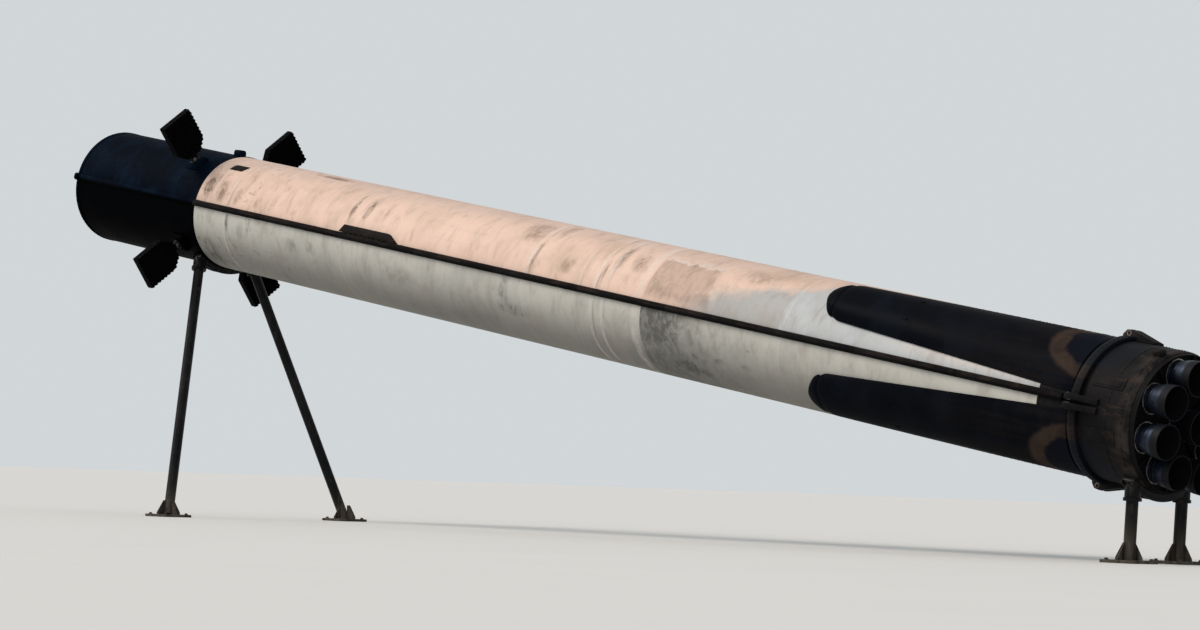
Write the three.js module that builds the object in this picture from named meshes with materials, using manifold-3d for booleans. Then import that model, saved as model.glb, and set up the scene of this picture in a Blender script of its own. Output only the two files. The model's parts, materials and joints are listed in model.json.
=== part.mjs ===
// First stage of a two-stage space rocket on its display stand, as a half-size model.
// Millimetres, +Z up, +X from the open front end towards the engines, resting on z = 0.
import * as THREE from 'three';
import { mergeVertices } from 'three/addons/utils/BufferGeometryUtils.js';
import Module from 'manifold-3d';

const wasm = await Module();
wasm.setup();

// Attitude on the stand
const TILT = THREE.MathUtils.degToRad(9.1);
const ROLL = THREE.MathUtils.degToRad(5);
const JOINT_HEIGHT = 4945;

// Body, stations along the axis measured aft from the interstage joint
const BODY_RADIUS = 915;
const FRONT_STATION = -3375;
const TANK_JOINT_STATION = 10800;
const FUEL_END_STATION = 18450;
const SKIRT_END_STATION = 20000;
const NOZZLE_EXIT_STATION = 20440;
const SEAT_GAP = 0.3;
const ROUND = 64;

// Interstage
const SHELL_WALL = 45;
const FRONT_RING_LENGTH = 60;
const FRONT_RING_RADIUS = 922;
const FRONT_RING_LIP = 25;
const BRACKET_HALF_WIDTH = 60;
const BRACKET_HEIGHT = 70;
const JOINT_RING_LENGTH = 30;
const JOINT_RING_RADIUS = 924;
const DOME_RADIUS = 860;
const DOME_HEIGHT = 520;
const DOME_STEPS = 5;

// Thruster pod
const POD_ANGLE = 83;
const POD_HALF_ANGLE = 4.8;
const POD_FROM = -230;
const POD_TO = -80;
const POD_HEIGHT = 95;
const POD_SHOULDER_HEIGHT = 60;
const POD_HALF_WIDTH = 72;
const POD_TOP_HALF_WIDTH = 52;

// Tanks
const OXYGEN_BARRELS = 4;
const FUEL_BARRELS = 3;

// Raceway along the near side
const RACEWAY_ANGLE = 1.7;
const RACEWAY_HALF_ANGLE = 3.1;
const RACEWAY_HEIGHT = 60;
const FORWARD_RACEWAY_HEIGHT = 36;
const RACEWAY_END = 18900;
const JUNCTION_BOX_FROM = 3850;
const JUNCTION_BOX_TO = 5250;
const JUNCTION_BOX_HEIGHT = 66;
const JUNCTION_BOX_HALF_ANGLE = 3.7;
const JUNCTION_BOX_ANGLE = 8.6;

// Folded landing legs
const LEG_ANGLES = [45, 135, -135, -45];
const LEG_TIP_STATION = 14255;
const LEG_NOSE_LENGTH = 420;
const LEG_TIP_COVER_LENGTH = 250;
const LEG_AFT_STATION = 18990;
const LEG_HALF_ANGLE_TIP = 20.5;
const LEG_HALF_ANGLE_AFT = 38.5;
const LEG_DEPTH_TIP = 145;
const LEG_DEPTH_AFT = 50;
const LEG_EDGE_DEPTH_TIP = 45;
const LEG_EDGE_DEPTH_AFT = 5;
const LEG_CROWN_POWER_TIP = 4;
const LEG_CROWN_POWER_AFT = 2;
const LEG_TIP_WIDTH_SHARE = 0.3;
const LEG_TIP_DEPTH_SHARE = 0.6;
const LEG_TIP_STATIONS = [14255, 14295, 14375];
const LEG_MID_STATIONS = [14600, 14675, 16300, 17800];
const LEG_STEPS = 10;

// Leg roots
const ROOT_FROM = 19030;
const ROOT_BEAM_HALF_ANGLE = 42;
const ROOT_BEAM_LENGTH = 130;
const ROOT_BEAM_DEPTH = 55;
const ROOT_STEPS = 14;
const GUSSET_FROM = 18930;
const GUSSET_TO = 19470;
const GUSSET_ANGLE = 41.5;
const GUSSET_WIDTH = 80;
const GUSSET_PROFILE = [[0, 10], [0, 60], [60, 125], [140, 135], [540, 30], [540, 10]];
const GUSSET_FOOT_HALF_ANGLE = 2.7;
const GUSSET_FOOT_DEPTH = 22;

// Engines
const BASE_RADIUS = 890;
const BASE_THICKNESS = 40;
const SKIRT_CHAMFER_LENGTH = 30;
const SKIRT_CHAMFER_DEPTH = 20;
const ENGINES_IN_RING = 8;
const ENGINE_RING_RADIUS = 650;
const BELL_FLANGE_RADIUS = 205;
const BELL_FLANGE_THICKNESS = 18;
const BELL_START = 60;
const BELL_STEPS = 4;
const BELL_SIDES = 20;
const NOZZLE_EXIT_RADIUS = 230;
const NOZZLE_NECK_RADIUS = 165;
const NOZZLE_WALL = 9;

// Grid fins
const FIN_STATION = -525;
const FIN_TIP_RADIUS = 1800;
const FIN_SHOULDER_RADIUS = 1265;
const FIN_ROOT_RADIUS = 1096;
const FIN_HALF_WIDTH = 290;
const FIN_ROOT_HALF_WIDTH = 140;
const FIN_ROOT_INSET_SHARE = 0.4;
const FIN_DEPTH = 110;
const FIN_TOOTH = 36;
const FIN_CELL = 193;
const FIN_TOOTH_PITCH = 72;
const FIN_FRAME_WALL = 15;
const FIN_LATTICE_WALL = 10;
const FOLD_RADIUS = 1056;
const HOUSING_TOP = 986;
const HOUSING_TOP_HALF_WIDTH = 112;
const HOUSING_SHOULDER = [152, 930];
const HOUSING_HALF_ANGLE = 9.4;
const HOUSING_HALF_LENGTH = 150;
const SHAFT_RADIUS = 60;
const SHAFT_CLEARANCE = 1;
const SHAFT_END_CLEARANCE = 6;
const HUB_FLANGE_RADIUS = 84;
const HUB_FLANGE_HEIGHT = 9;
const PIN_RADIUS = 16;
const PIN_HALF_LENGTH = 60;
const PIN_CLEARANCE = 0.5;
const TONGUE_RADIUS = 26;
const TONGUE_HALF_WIDTH = 38;
const LUG_CENTRE = 54;
const LUG_THICKNESS = 20;
const LUG_RADIUS = 30;

// Stand
const COLUMN_RADIUS = 80;
const COLLAR_RADIUS = 105;
const COLLAR_LENGTH = 190;
const FOOT_SIZE = 520;
const FOOT_THICKNESS = 40;
const SADDLE_RADIUS = 985;
const SADDLE_HALF_ANGLE = 38;
const SADDLE_STEPS = 16;
// Column heads as station, distance from the middle and height above the axis; feet as station and distance
const PROPS = [
  { name: 'front', station: -190, length: 200, top: [-209, 506, -800], foot: [1578, 1772] },
  { name: 'aft', station: 19870, length: 210, top: [19870, 480, -820], foot: [19990, 480] },
];

const material = (name, color, roughness, metalness) => {
  const finish = new THREE.MeshStandardMaterial({ color, roughness, metalness });
  finish.name = name;
  return finish;
};
const finishes = {
  interstage: material('interstage_black', 0x15181d, 0.6, 0),
  tank: material('tank_white', 0xd9cfc4, 0.55, 0.1),
  soot: material('sooty_skirt', 0x2a2522, 0.75, 0.1),
  leg: material('leg_black', 0x14161b, 0.45, 0),
  raceway: material('raceway_black', 0x1b1c1e, 0.6, 0),
  fin: material('fin_black', 0x121315, 0.7, 0.4),
  steel: material('bare_steel', 0x8c8a86, 0.4, 0.9),
  nozzle: material('nozzle_metal', 0x2b3038, 0.4, 0.9),
  stand: material('stand_black', 0x1a1b1c, 0.5, 0.2),
};

// Geometry helpers
const welded = (geometry) => {
  const bare = new THREE.BufferGeometry();
  bare.setAttribute('position', geometry.getAttribute('position').clone());
  if (geometry.index) bare.setIndex(geometry.index.clone());
  const merged = mergeVertices(bare, 1e-3);
  const position = merged.getAttribute('position');
  const index = merged.index.array;
  const kept = [];
  let volume = 0;
  const [a, b, c] = [new THREE.Vector3(), new THREE.Vector3(), new THREE.Vector3()];
  for (let i = 0; i < index.length; i += 3) {
    const [p, q, r] = [index[i], index[i + 1], index[i + 2]];
    if (p === q || q === r || r === p) continue;
    kept.push(p, q, r);
    a.fromBufferAttribute(position, p);
    b.fromBufferAttribute(position, q);
    c.fromBufferAttribute(position, r);
    volume += a.dot(b.cross(c));
  }
  if (volume < 0) kept.reverse();
  merged.setIndex(kept);
  return merged;
};

const solid = (geometry) => {
  const closed = welded(geometry);
  return new wasm.Manifold(new wasm.Mesh({
    numProp: 3,
    vertProperties: new Float32Array(closed.getAttribute('position').array),
    triVerts: new Uint32Array(closed.index.array),
  }));
};

const surface = (body) => {
  const mesh = body.getMesh();
  const geometry = new THREE.BufferGeometry();
  geometry.setAttribute('position', new THREE.BufferAttribute(mesh.vertProperties, 3));
  geometry.setIndex(new THREE.BufferAttribute(mesh.triVerts, 1));
  return geometry;
};

// The main body of a cut solid, without the slivers that grazing cuts leave
const mainBody = (whole) => whole.decompose().sort((one, other) => other.volume() - one.volume())[0];

const joined = (...pieces) => pieces.map(solid).reduce((whole, piece) => whole.add(piece));

const turned = (profile, segments = ROUND) => {
  const points = profile.map(([station, radius]) => new THREE.Vector2(radius, station));
  return new THREE.LatheGeometry(points, segments).rotateZ(-Math.PI / 2);
};

const disc = (from, to, radius) => turned([[from, 0], [from, radius], [to, radius], [to, 0]]);
const pipe = (from, to, inside, outside) => turned([
  [from, inside], [to, inside], [to, outside], [from, outside], [from, inside],
]);

// Shapes drawn as (sideways, outwards) run along the axis
const ALONG = new THREE.Matrix4().makeBasis(
  new THREE.Vector3(0, 1, 0),
  new THREE.Vector3(0, 0, 1),
  new THREE.Vector3(1, 0, 0),
);
const along = (outline, from, to) => {
  const shape = new THREE.Shape(outline.map(([x, y]) => new THREE.Vector2(x, y)));
  const geometry = new THREE.ExtrudeGeometry(shape, { depth: to - from, bevelEnabled: false });
  return geometry.applyMatrix4(ALONG).translate(from, 0, 0);
};

// An arc of (sideways, outwards) points, its angle measured from straight out
const arc = (radius, from, to, steps) => Array.from({ length: steps + 1 }, (_, i) => {
  const angle = THREE.MathUtils.degToRad(from + (to - from) * i / steps);
  return [radius * Math.sin(angle), radius * Math.cos(angle)];
});

// The same for a face that rests on the round body, clear of it between its points too
const seatedArc = (half, steps, centre = 0) => {
  const radius = (BODY_RADIUS + SEAT_GAP) / Math.cos(THREE.MathUtils.degToRad(half / steps));
  return arc(radius, centre - half, centre + half, steps);
};

const box = (x0, x1, y0, y1, z0, z1) => new THREE.BoxGeometry(x1 - x0, y1 - y0, z1 - z0)
  .translate((x0 + x1) / 2, (y0 + y1) / 2, (z0 + z1) / 2);

// A cylinder between two points
const rod = (from, to, radius, segments = 32) => {
  const direction = to.clone().sub(from);
  const geometry = new THREE.CylinderGeometry(radius, radius, direction.length(), segments);
  const turn = new THREE.Quaternion().setFromUnitVectors(new THREE.Vector3(0, 1, 0), direction.normalize());
  const middle = from.clone().add(to).multiplyScalar(0.5);
  return geometry.applyQuaternion(turn).translate(middle.x, middle.y, middle.z);
};

// A closed skin through like outlines, each at its own station
const lofted = (sections) => {
  const count = sections[0].outline.length;
  const positions = sections.flatMap(({ station, outline }) => outline.flatMap(([y, z]) => [station, y, z]));
  const faces = [];
  for (let k = 0; k + 1 < sections.length; k += 1) {
    for (let i = 0; i < count; i += 1) {
      const j = (i + 1) % count;
      const [a, b] = [k * count + i, k * count + j];
      faces.push(a, b, b + count, a, b + count, a + count);
    }
  }
  const flat = (section) => section.outline.map(([y, z]) => new THREE.Vector2(y, z));
  const cap = (section, base, flip) => {
    for (const [a, b, c] of THREE.ShapeUtils.triangulateShape(flat(section), [])) {
      if (flip) faces.push(base + a, base + c, base + b);
      else faces.push(base + a, base + b, base + c);
    }
  };
  const clockwise = THREE.ShapeUtils.isClockWise(flat(sections[0]));
  cap(sections[0], 0, !clockwise);
  cap(sections.at(-1), (sections.length - 1) * count, clockwise);
  const geometry = new THREE.BufferGeometry();
  geometry.setAttribute('position', new THREE.Float32BufferAttribute(positions, 3));
  geometry.setIndex(faces);
  return geometry;
};

// Groups: the display stands level, the stage leans in it, the body is rolled in that
const display = new THREE.Group();
const stage = new THREE.Group();
stage.position.set(0, 0, JOINT_HEIGHT);
stage.rotation.y = TILT;
const body = new THREE.Group();
body.rotation.x = -ROLL;
display.add(stage);
stage.add(body);

const add = (parent, name, geometry, finish) => {
  const mesh = new THREE.Mesh(welded(geometry), finish);
  mesh.name = name;
  parent.add(mesh);
  return mesh;
};

// A group whose +Z points straight out of the body at an angle up from the near side
const facing = (angle) => {
  const group = new THREE.Group();
  group.rotation.x = THREE.MathUtils.degToRad(90 - angle);
  body.add(group);
  return group;
};

// A point given by station, distance away from the viewer and height above the axis
const stagePoint = (station, away, up) => new THREE.Vector3(
  station * Math.cos(TILT) + up * Math.sin(TILT),
  away,
  JOINT_HEIGHT - station * Math.sin(TILT) + up * Math.cos(TILT),
);

// Interstage: open-fronted shell, its end ring with a bracket, and the tank's dome inside it
const buildInterstage = () => {
  const inner = BODY_RADIUS - SHELL_WALL;
  const shellFrom = FRONT_STATION + FRONT_RING_LENGTH + SEAT_GAP;
  const shellTo = -JOINT_RING_LENGTH - SEAT_GAP;
  add(body, 'interstage_shell', pipe(shellFrom, shellTo, inner, BODY_RADIUS), finishes.interstage);
  const ringTo = FRONT_STATION + FRONT_RING_LENGTH;
  const ring = pipe(FRONT_STATION, ringTo, inner - FRONT_RING_LIP, FRONT_RING_RADIUS);
  const bracketTop = FRONT_RING_RADIUS + BRACKET_HEIGHT;
  const bracket = box(FRONT_STATION, ringTo, -BRACKET_HALF_WIDTH, BRACKET_HALF_WIDTH, inner, bracketTop)
    .rotateX(THREE.MathUtils.degToRad(90 - RACEWAY_ANGLE));
  add(body, 'front_ring', surface(joined(ring, bracket)), finishes.interstage);
  const jointRing = pipe(-JOINT_RING_LENGTH, -SEAT_GAP, inner, JOINT_RING_RADIUS);
  add(body, 'joint_ring', jointRing, finishes.interstage);
  const dome = Array.from({ length: DOME_STEPS + 1 }, (_, i) => {
    const angle = Math.PI / 2 * i / DOME_STEPS;
    return [-SEAT_GAP - DOME_HEIGHT * Math.cos(angle), DOME_RADIUS * Math.sin(angle)];
  });
  dome[0][1] = 0;
  add(body, 'oxygen_tank_dome', turned([...dome, [-SEAT_GAP, 0]]), finishes.tank);
};

// Tanks: closed barrels welded end to end
const buildTank = (name, from, to, count) => {
  const length = (to - from) / count;
  for (let i = 0; i < count; i += 1) {
    const start = from + i * length;
    add(body, `${name}_${i + 1}`, disc(start, start + length - SEAT_GAP, BODY_RADIUS), finishes.tank);
  }
};

// Raceway covers: a strip on the body's side, flat on top with sloped flanks
const racewaySection = (height, halfAngle = RACEWAY_HALF_ANGLE) => {
  const seat = BODY_RADIUS + SEAT_GAP;
  const flank = (seat + height / 2) * Math.sin(THREE.MathUtils.degToRad(halfAngle));
  const top = (seat + height) * Math.sin(THREE.MathUtils.degToRad(halfAngle * 0.8));
  return [
    ...seatedArc(halfAngle, 2),
    [flank, seat + height / 2], [top, seat + height], [-top, seat + height], [-flank, seat + height / 2],
  ];
};
const buildRaceway = () => {
  const side = facing(RACEWAY_ANGLE);
  const forwardFrom = FRONT_STATION + FRONT_RING_LENGTH + SEAT_GAP;
  const forward = along(racewaySection(FORWARD_RACEWAY_HEIGHT), forwardFrom, -JOINT_RING_LENGTH - SEAT_GAP);
  add(side, 'raceway_forward', forward, finishes.raceway);
  add(side, 'raceway_main', along(racewaySection(RACEWAY_HEIGHT), 0, RACEWAY_END), finishes.raceway);
  const section = racewaySection(JUNCTION_BOX_HEIGHT, JUNCTION_BOX_HALF_ANGLE);
  const junctionBox = along(section, JUNCTION_BOX_FROM, JUNCTION_BOX_TO);
  add(facing(JUNCTION_BOX_ANGLE), 'raceway_junction_box', junctionBox, finishes.raceway);
};

// Legs: crowned shells that follow the body, with round noses and separate tip covers
const legOutline = (station) => {
  const fromTip = station - LEG_TIP_STATION;
  const share = THREE.MathUtils.clamp(fromTip / (LEG_AFT_STATION - LEG_TIP_STATION), 0, 1);
  const nose = Math.min(fromTip / LEG_NOSE_LENGTH, 1);
  const roundness = Math.sqrt(Math.max(1 - (1 - nose) ** 2, 0));
  const half = THREE.MathUtils.lerp(LEG_HALF_ANGLE_TIP, LEG_HALF_ANGLE_AFT, share)
    * Math.max(roundness, LEG_TIP_WIDTH_SHARE);
  const depth = THREE.MathUtils.lerp(LEG_DEPTH_TIP, LEG_DEPTH_AFT, share)
    * Math.max(roundness, LEG_TIP_DEPTH_SHARE);
  const edge = THREE.MathUtils.lerp(LEG_EDGE_DEPTH_TIP, LEG_EDGE_DEPTH_AFT, share);
  const power = THREE.MathUtils.lerp(LEG_CROWN_POWER_TIP, LEG_CROWN_POWER_AFT, share);
  const crown = Array.from({ length: LEG_STEPS + 1 }, (_, i) => {
    const t = 1 - 2 * i / LEG_STEPS;
    const radius = BODY_RADIUS + edge + (depth - edge) * (1 - Math.abs(t) ** power);
    const angle = THREE.MathUtils.degToRad(half * t);
    return [radius * Math.sin(angle), radius * Math.cos(angle)];
  });
  const sunk = 25;
  return [...arc(BODY_RADIUS - sunk, -half, half, LEG_STEPS), ...crown];
};
const legPiece = (stations) => {
  const block = solid(lofted(stations.map((station) => ({ station, outline: legOutline(station) }))));
  const beyond = 10;
  const bodyInside = disc(stations[0] - beyond, stations.at(-1) + beyond, BODY_RADIUS + SEAT_GAP);
  return surface(block.subtract(solid(bodyInside)));
};
const buildLegs = () => {
  const split = LEG_TIP_STATION + LEG_TIP_COVER_LENGTH;
  const tip = legPiece([...LEG_TIP_STATIONS, split]);
  const shell = legPiece([split + SEAT_GAP, ...LEG_MID_STATIONS, LEG_AFT_STATION]);
  LEG_ANGLES.forEach((angle, i) => {
    const side = facing(angle);
    add(side, `leg_tip_${i + 1}`, tip, finishes.leg);
    add(side, `leg_shell_${i + 1}`, shell, finishes.leg);
  });
};

// Leg roots: a curved beam with two wedge gussets that carry the leg's hinge pins
const gusset = (turn) => {
  const points = GUSSET_PROFILE.map(([run, height]) => [GUSSET_FROM + run, BODY_RADIUS + height]);
  const shape = new THREE.Shape(points.map(([x, y]) => new THREE.Vector2(x, y)));
  return new THREE.ExtrudeGeometry(shape, { depth: GUSSET_WIDTH, bevelEnabled: false })
    .translate(0, 0, -GUSSET_WIDTH / 2)
    .rotateX(Math.PI / 2)
    .rotateX(THREE.MathUtils.degToRad(turn));
};
const gussetFoot = (turn) => along([
  ...seatedArc(GUSSET_FOOT_HALF_ANGLE, 2, turn),
  ...arc(BODY_RADIUS + GUSSET_FOOT_DEPTH, turn + GUSSET_FOOT_HALF_ANGLE, turn - GUSSET_FOOT_HALF_ANGLE, 2),
], GUSSET_FROM, GUSSET_TO);
const buildLegRoots = () => {
  const beam = along([
    ...seatedArc(ROOT_BEAM_HALF_ANGLE, ROOT_STEPS),
    ...arc(BODY_RADIUS + ROOT_BEAM_DEPTH, ROOT_BEAM_HALF_ANGLE, -ROOT_BEAM_HALF_ANGLE, ROOT_STEPS),
  ], ROOT_FROM, ROOT_FROM + ROOT_BEAM_LENGTH);
  const [left, right] = [GUSSET_ANGLE, -GUSSET_ANGLE];
  const root = surface(joined(beam, gusset(left), gusset(right), gussetFoot(left), gussetFoot(right)));
  LEG_ANGLES.forEach((angle, i) => add(facing(angle), `leg_root_${i + 1}`, root, finishes.soot));
};

// Aft skirt, base plate and nine bells
const buildEngines = () => {
  add(body, 'aft_skirt', turned([
    [FUEL_END_STATION, 0], [FUEL_END_STATION, BODY_RADIUS],
    [SKIRT_END_STATION - SKIRT_CHAMFER_LENGTH, BODY_RADIUS],
    [SKIRT_END_STATION, BODY_RADIUS - SKIRT_CHAMFER_DEPTH], [SKIRT_END_STATION, 0],
  ]), finishes.soot);
  const plateFrom = SKIRT_END_STATION + SEAT_GAP;
  const plateTo = plateFrom + BASE_THICKNESS;
  add(body, 'engine_base_plate', disc(plateFrom, plateTo, BASE_RADIUS), finishes.soot);
  const bellFrom = plateTo + SEAT_GAP;
  const flareFrom = bellFrom + BELL_START;
  const wall = (offset) => Array.from({ length: BELL_STEPS + 1 }, (_, i) => {
    const share = i / BELL_STEPS;
    const flare = Math.sin(share * Math.PI / 2) ** 0.9;
    const radius = NOZZLE_NECK_RADIUS + (NOZZLE_EXIT_RADIUS - NOZZLE_NECK_RADIUS) * flare;
    return [flareFrom + (NOZZLE_EXIT_STATION - flareFrom) * share, radius - offset];
  });
  const bell = turned([
    [bellFrom, 0], [bellFrom, BELL_FLANGE_RADIUS], [bellFrom + BELL_FLANGE_THICKNESS, BELL_FLANGE_RADIUS],
    [bellFrom + BELL_FLANGE_THICKNESS, NOZZLE_NECK_RADIUS], ...wall(0),
    ...wall(NOZZLE_WALL).reverse(), [flareFrom, 0],
  ], BELL_SIDES);
  const ring = Array.from({ length: ENGINES_IN_RING }, (_, i) => [
    ENGINE_RING_RADIUS, (i + 0.5) / ENGINES_IN_RING,
  ]);
  [[0, 0], ...ring].forEach(([radius, share], i) => {
    const turn = 2 * Math.PI * share;
    const engine = bell.clone().translate(0, -radius * Math.cos(turn), radius * Math.sin(turn));
    add(body, `engine_bell_${i + 1}`, engine, finishes.nozzle);
  });
};

// Grid fins: a hub that steers in its housing and a lattice panel that folds on the hub's pin
const finOutline = (inset) => {
  const corner = (FIN_SHOULDER_RADIUS - FIN_ROOT_RADIUS) / (FIN_HALF_WIDTH - FIN_ROOT_HALF_WIDTH);
  const slant = inset * (Math.hypot(1, corner) - corner);
  const rootHalf = FIN_ROOT_HALF_WIDTH - inset * FIN_ROOT_INSET_SHARE;
  return [
    [-rootHalf, FIN_ROOT_RADIUS + inset], [rootHalf, FIN_ROOT_RADIUS + inset],
    [FIN_HALF_WIDTH - inset, FIN_SHOULDER_RADIUS + slant], [FIN_HALF_WIDTH - inset, FIN_TIP_RADIUS - inset],
    [-FIN_HALF_WIDTH + inset, FIN_TIP_RADIUS - inset], [-FIN_HALF_WIDTH + inset, FIN_SHOULDER_RADIUS + slant],
  ];
};
// A rod on the fold axis
const foldRod = (from, to, radius) => rod(
  new THREE.Vector3(0, from, FOLD_RADIUS), new THREE.Vector3(0, to, FOLD_RADIUS), radius, 24,
);
const finPanel = () => {
  const [fore, aft] = [-FIN_DEPTH / 2, FIN_DEPTH / 2 + FIN_TOOTH];
  const plate = solid(along(finOutline(0), fore, aft));
  const inside = solid(along(finOutline(FIN_FRAME_WALL), fore - 1, aft + 1));
  const middle = (FIN_TIP_RADIUS + FIN_ROOT_RADIUS) / 2;
  const reach = FIN_TIP_RADIUS - FIN_ROOT_RADIUS;
  const rows = 5;
  const walls = [];
  for (const lean of [45, -45]) {
    for (let k = -rows; k <= rows; k += 1) {
      const bar = box(fore, aft - FIN_TOOTH, -reach, reach, -FIN_LATTICE_WALL / 2, FIN_LATTICE_WALL / 2)
        .rotateX(THREE.MathUtils.degToRad(lean))
        .translate(0, 0, middle + k * FIN_CELL);
      walls.push(solid(bar));
    }
  }
  const lattice = walls.reduce((whole, wall) => whole.add(wall)).intersect(inside);
  let panel = plate.subtract(inside).add(lattice);
  // Sawtooth aft rim
  const count = Math.ceil(reach / FIN_TOOTH_PITCH / 2);
  const beyond = 5;
  const spread = (FIN_TOOTH + beyond) * FIN_TOOTH_PITCH / 2 / FIN_TOOTH;
  for (let k = -count; k < count; k += 1) {
    const centre = middle + (k + 0.5) * FIN_TOOTH_PITCH;
    const notch = new THREE.Shape([
      new THREE.Vector2(aft - FIN_TOOTH, centre),
      new THREE.Vector2(aft + beyond, centre + spread),
      new THREE.Vector2(aft + beyond, centre - spread),
    ]);
    const groove = new THREE.ExtrudeGeometry(notch, { depth: 2 * reach, bevelEnabled: false })
      .translate(0, 0, -reach)
      .rotateX(Math.PI / 2);
    panel = panel.subtract(solid(groove));
  }
  const stemTop = FIN_ROOT_RADIUS + FIN_FRAME_WALL / 2;
  const [thick, wide] = [TONGUE_RADIUS, TONGUE_HALF_WIDTH];
  const stem = box(-thick, thick, -wide, wide, FOLD_RADIUS, stemTop);
  const knuckle = foldRod(-wide, wide, thick);
  const bore = foldRod(-PIN_HALF_LENGTH, PIN_HALF_LENGTH, PIN_RADIUS + PIN_CLEARANCE);
  return mainBody(panel.add(joined(stem, knuckle)).subtract(solid(bore)));
};
const finHub = () => {
  const up = (z0, z1, radius) => rod(new THREE.Vector3(0, 0, z0), new THREE.Vector3(0, 0, z1), radius, 32);
  const inFlange = HOUSING_TOP + HUB_FLANGE_HEIGHT / 2;
  const lug = (side) => {
    const [from, to] = [side * LUG_CENTRE - LUG_THICKNESS / 2, side * LUG_CENTRE + LUG_THICKNESS / 2];
    const plate = box(-LUG_RADIUS, LUG_RADIUS, from, to, inFlange, FOLD_RADIUS);
    return joined(plate, foldRod(from, to, LUG_RADIUS));
  };
  const shaft = up(BODY_RADIUS + SHAFT_END_CLEARANCE, inFlange, SHAFT_RADIUS);
  const flange = up(HOUSING_TOP + SEAT_GAP, HOUSING_TOP + HUB_FLANGE_HEIGHT, HUB_FLANGE_RADIUS);
  const pin = foldRod(-PIN_HALF_LENGTH, PIN_HALF_LENGTH, PIN_RADIUS);
  return joined(shaft, flange, pin).add(lug(1)).add(lug(-1));
};
const finHousing = () => {
  const [shoulder, shoulderRadius] = HOUSING_SHOULDER;
  const block = along([
    ...seatedArc(HOUSING_HALF_ANGLE, 4), [shoulder, shoulderRadius], [HOUSING_TOP_HALF_WIDTH, HOUSING_TOP],
    [-HOUSING_TOP_HALF_WIDTH, HOUSING_TOP], [-shoulder, shoulderRadius],
  ], -HOUSING_HALF_LENGTH, HOUSING_HALF_LENGTH);
  const beyond = 5;
  const boreFrom = new THREE.Vector3(0, 0, BODY_RADIUS - beyond);
  const boreTo = new THREE.Vector3(0, 0, HOUSING_TOP + beyond);
  const bore = rod(boreFrom, boreTo, SHAFT_RADIUS + SHAFT_CLEARANCE);
  return solid(block).subtract(solid(bore));
};
const buildFins = () => {
  const panel = surface(finPanel());
  const hub = surface(finHub());
  const housing = surface(finHousing());
  LEG_ANGLES.forEach((angle, i) => {
    const side = facing(angle);
    const place = new THREE.Group();
    place.position.x = FIN_STATION;
    side.add(place);
    add(place, `fin_housing_${i + 1}`, housing, finishes.interstage);
    add(place, `fin_hub_${i + 1}`, hub, finishes.steel);
    add(place, `grid_fin_${i + 1}`, panel, finishes.fin);
  });
};

// Cold gas thruster pod on the upper side, just ahead of the joint
const buildPod = () => {
  const [shoulder, top] = [BODY_RADIUS + POD_SHOULDER_HEIGHT, BODY_RADIUS + POD_HEIGHT];
  add(facing(POD_ANGLE), 'thruster_pod', along([
    ...seatedArc(POD_HALF_ANGLE, 4), [POD_HALF_WIDTH, shoulder], [POD_TOP_HALF_WIDTH, top],
    [-POD_TOP_HALF_WIDTH, top], [-POD_HALF_WIDTH, shoulder],
  ], POD_FROM, POD_TO), finishes.interstage);
};

// Stand: a saddle under each end on two raked columns with foot plates
const buildStand = () => {
  const [low, high] = [180 - SADDLE_HALF_ANGLE, 180 + SADDLE_HALF_ANGLE];
  const sunk = 10;
  const toStage = new THREE.Matrix4().compose(
    stage.position,
    new THREE.Quaternion().setFromEuler(stage.rotation),
    new THREE.Vector3(1, 1, 1),
  );
  for (const { name, station, length, top, foot } of PROPS) {
    const band = along([
      ...arc(BODY_RADIUS - sunk, low, high, SADDLE_STEPS),
      ...arc(SADDLE_RADIUS, high, low, SADDLE_STEPS),
    ], station - length / 2, station + length / 2);
    const clear = disc(station - length * 2, station + length * 2, BODY_RADIUS + SEAT_GAP).rotateX(-ROLL);
    let saddle = solid(band.applyMatrix4(toStage));
    for (const side of [-1, 1]) {
      const head = stagePoint(top[0], side * top[1], top[2]);
      const drop = JOINT_HEIGHT - foot[0] * Math.sin(TILT);
      const base = stagePoint(foot[0], side * foot[1], -drop / Math.cos(TILT));
      base.z = FOOT_THICKNESS * 0.9;
      const direction = base.clone().sub(head).normalize();
      const collarEnd = head.clone().addScaledVector(direction, COLLAR_LENGTH);
      saddle = saddle.add(solid(rod(head, collarEnd, COLLAR_RADIUS)));
      const columnTop = collarEnd.clone().addScaledVector(direction, SEAT_GAP);
      const plate = box(base.x - FOOT_SIZE / 2, base.x + FOOT_SIZE / 2,
        base.y - FOOT_SIZE / 2, base.y + FOOT_SIZE / 2, 0, FOOT_THICKNESS);
      const column = joined(rod(columnTop, base, COLUMN_RADIUS), plate);
      add(display, `${name}_column_${side < 0 ? 'near' : 'far'}`, surface(column), finishes.stand);
    }
    saddle = saddle.subtract(solid(clear.applyMatrix4(toStage)));
    add(display, `${name}_saddle`, surface(mainBody(saddle)), finishes.stand);
  }
};

buildInterstage();
buildTank('oxygen_tank_barrel', 0, TANK_JOINT_STATION, OXYGEN_BARRELS);
buildTank('fuel_tank_barrel', TANK_JOINT_STATION, FUEL_END_STATION, FUEL_BARRELS);
buildRaceway();
buildLegs();
buildLegRoots();
buildEngines();
buildFins();
buildPod();
buildStand();

// The origin is under the middle of the whole display, at floor level
const bounds = new THREE.Box3().setFromObject(display, true);
display.position.x = -(bounds.min.x + bounds.max.x) / 2;
display.position.y = -(bounds.min.y + bounds.max.y) / 2;

export default display;
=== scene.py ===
import json
from math import ceil, cos, degrees, pi, radians, sin, sqrt, tau

import bmesh
import bpy
from bpy.props import FloatProperty, FloatVectorProperty, IntProperty, PointerProperty
from mathutils import Matrix, Vector


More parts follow.
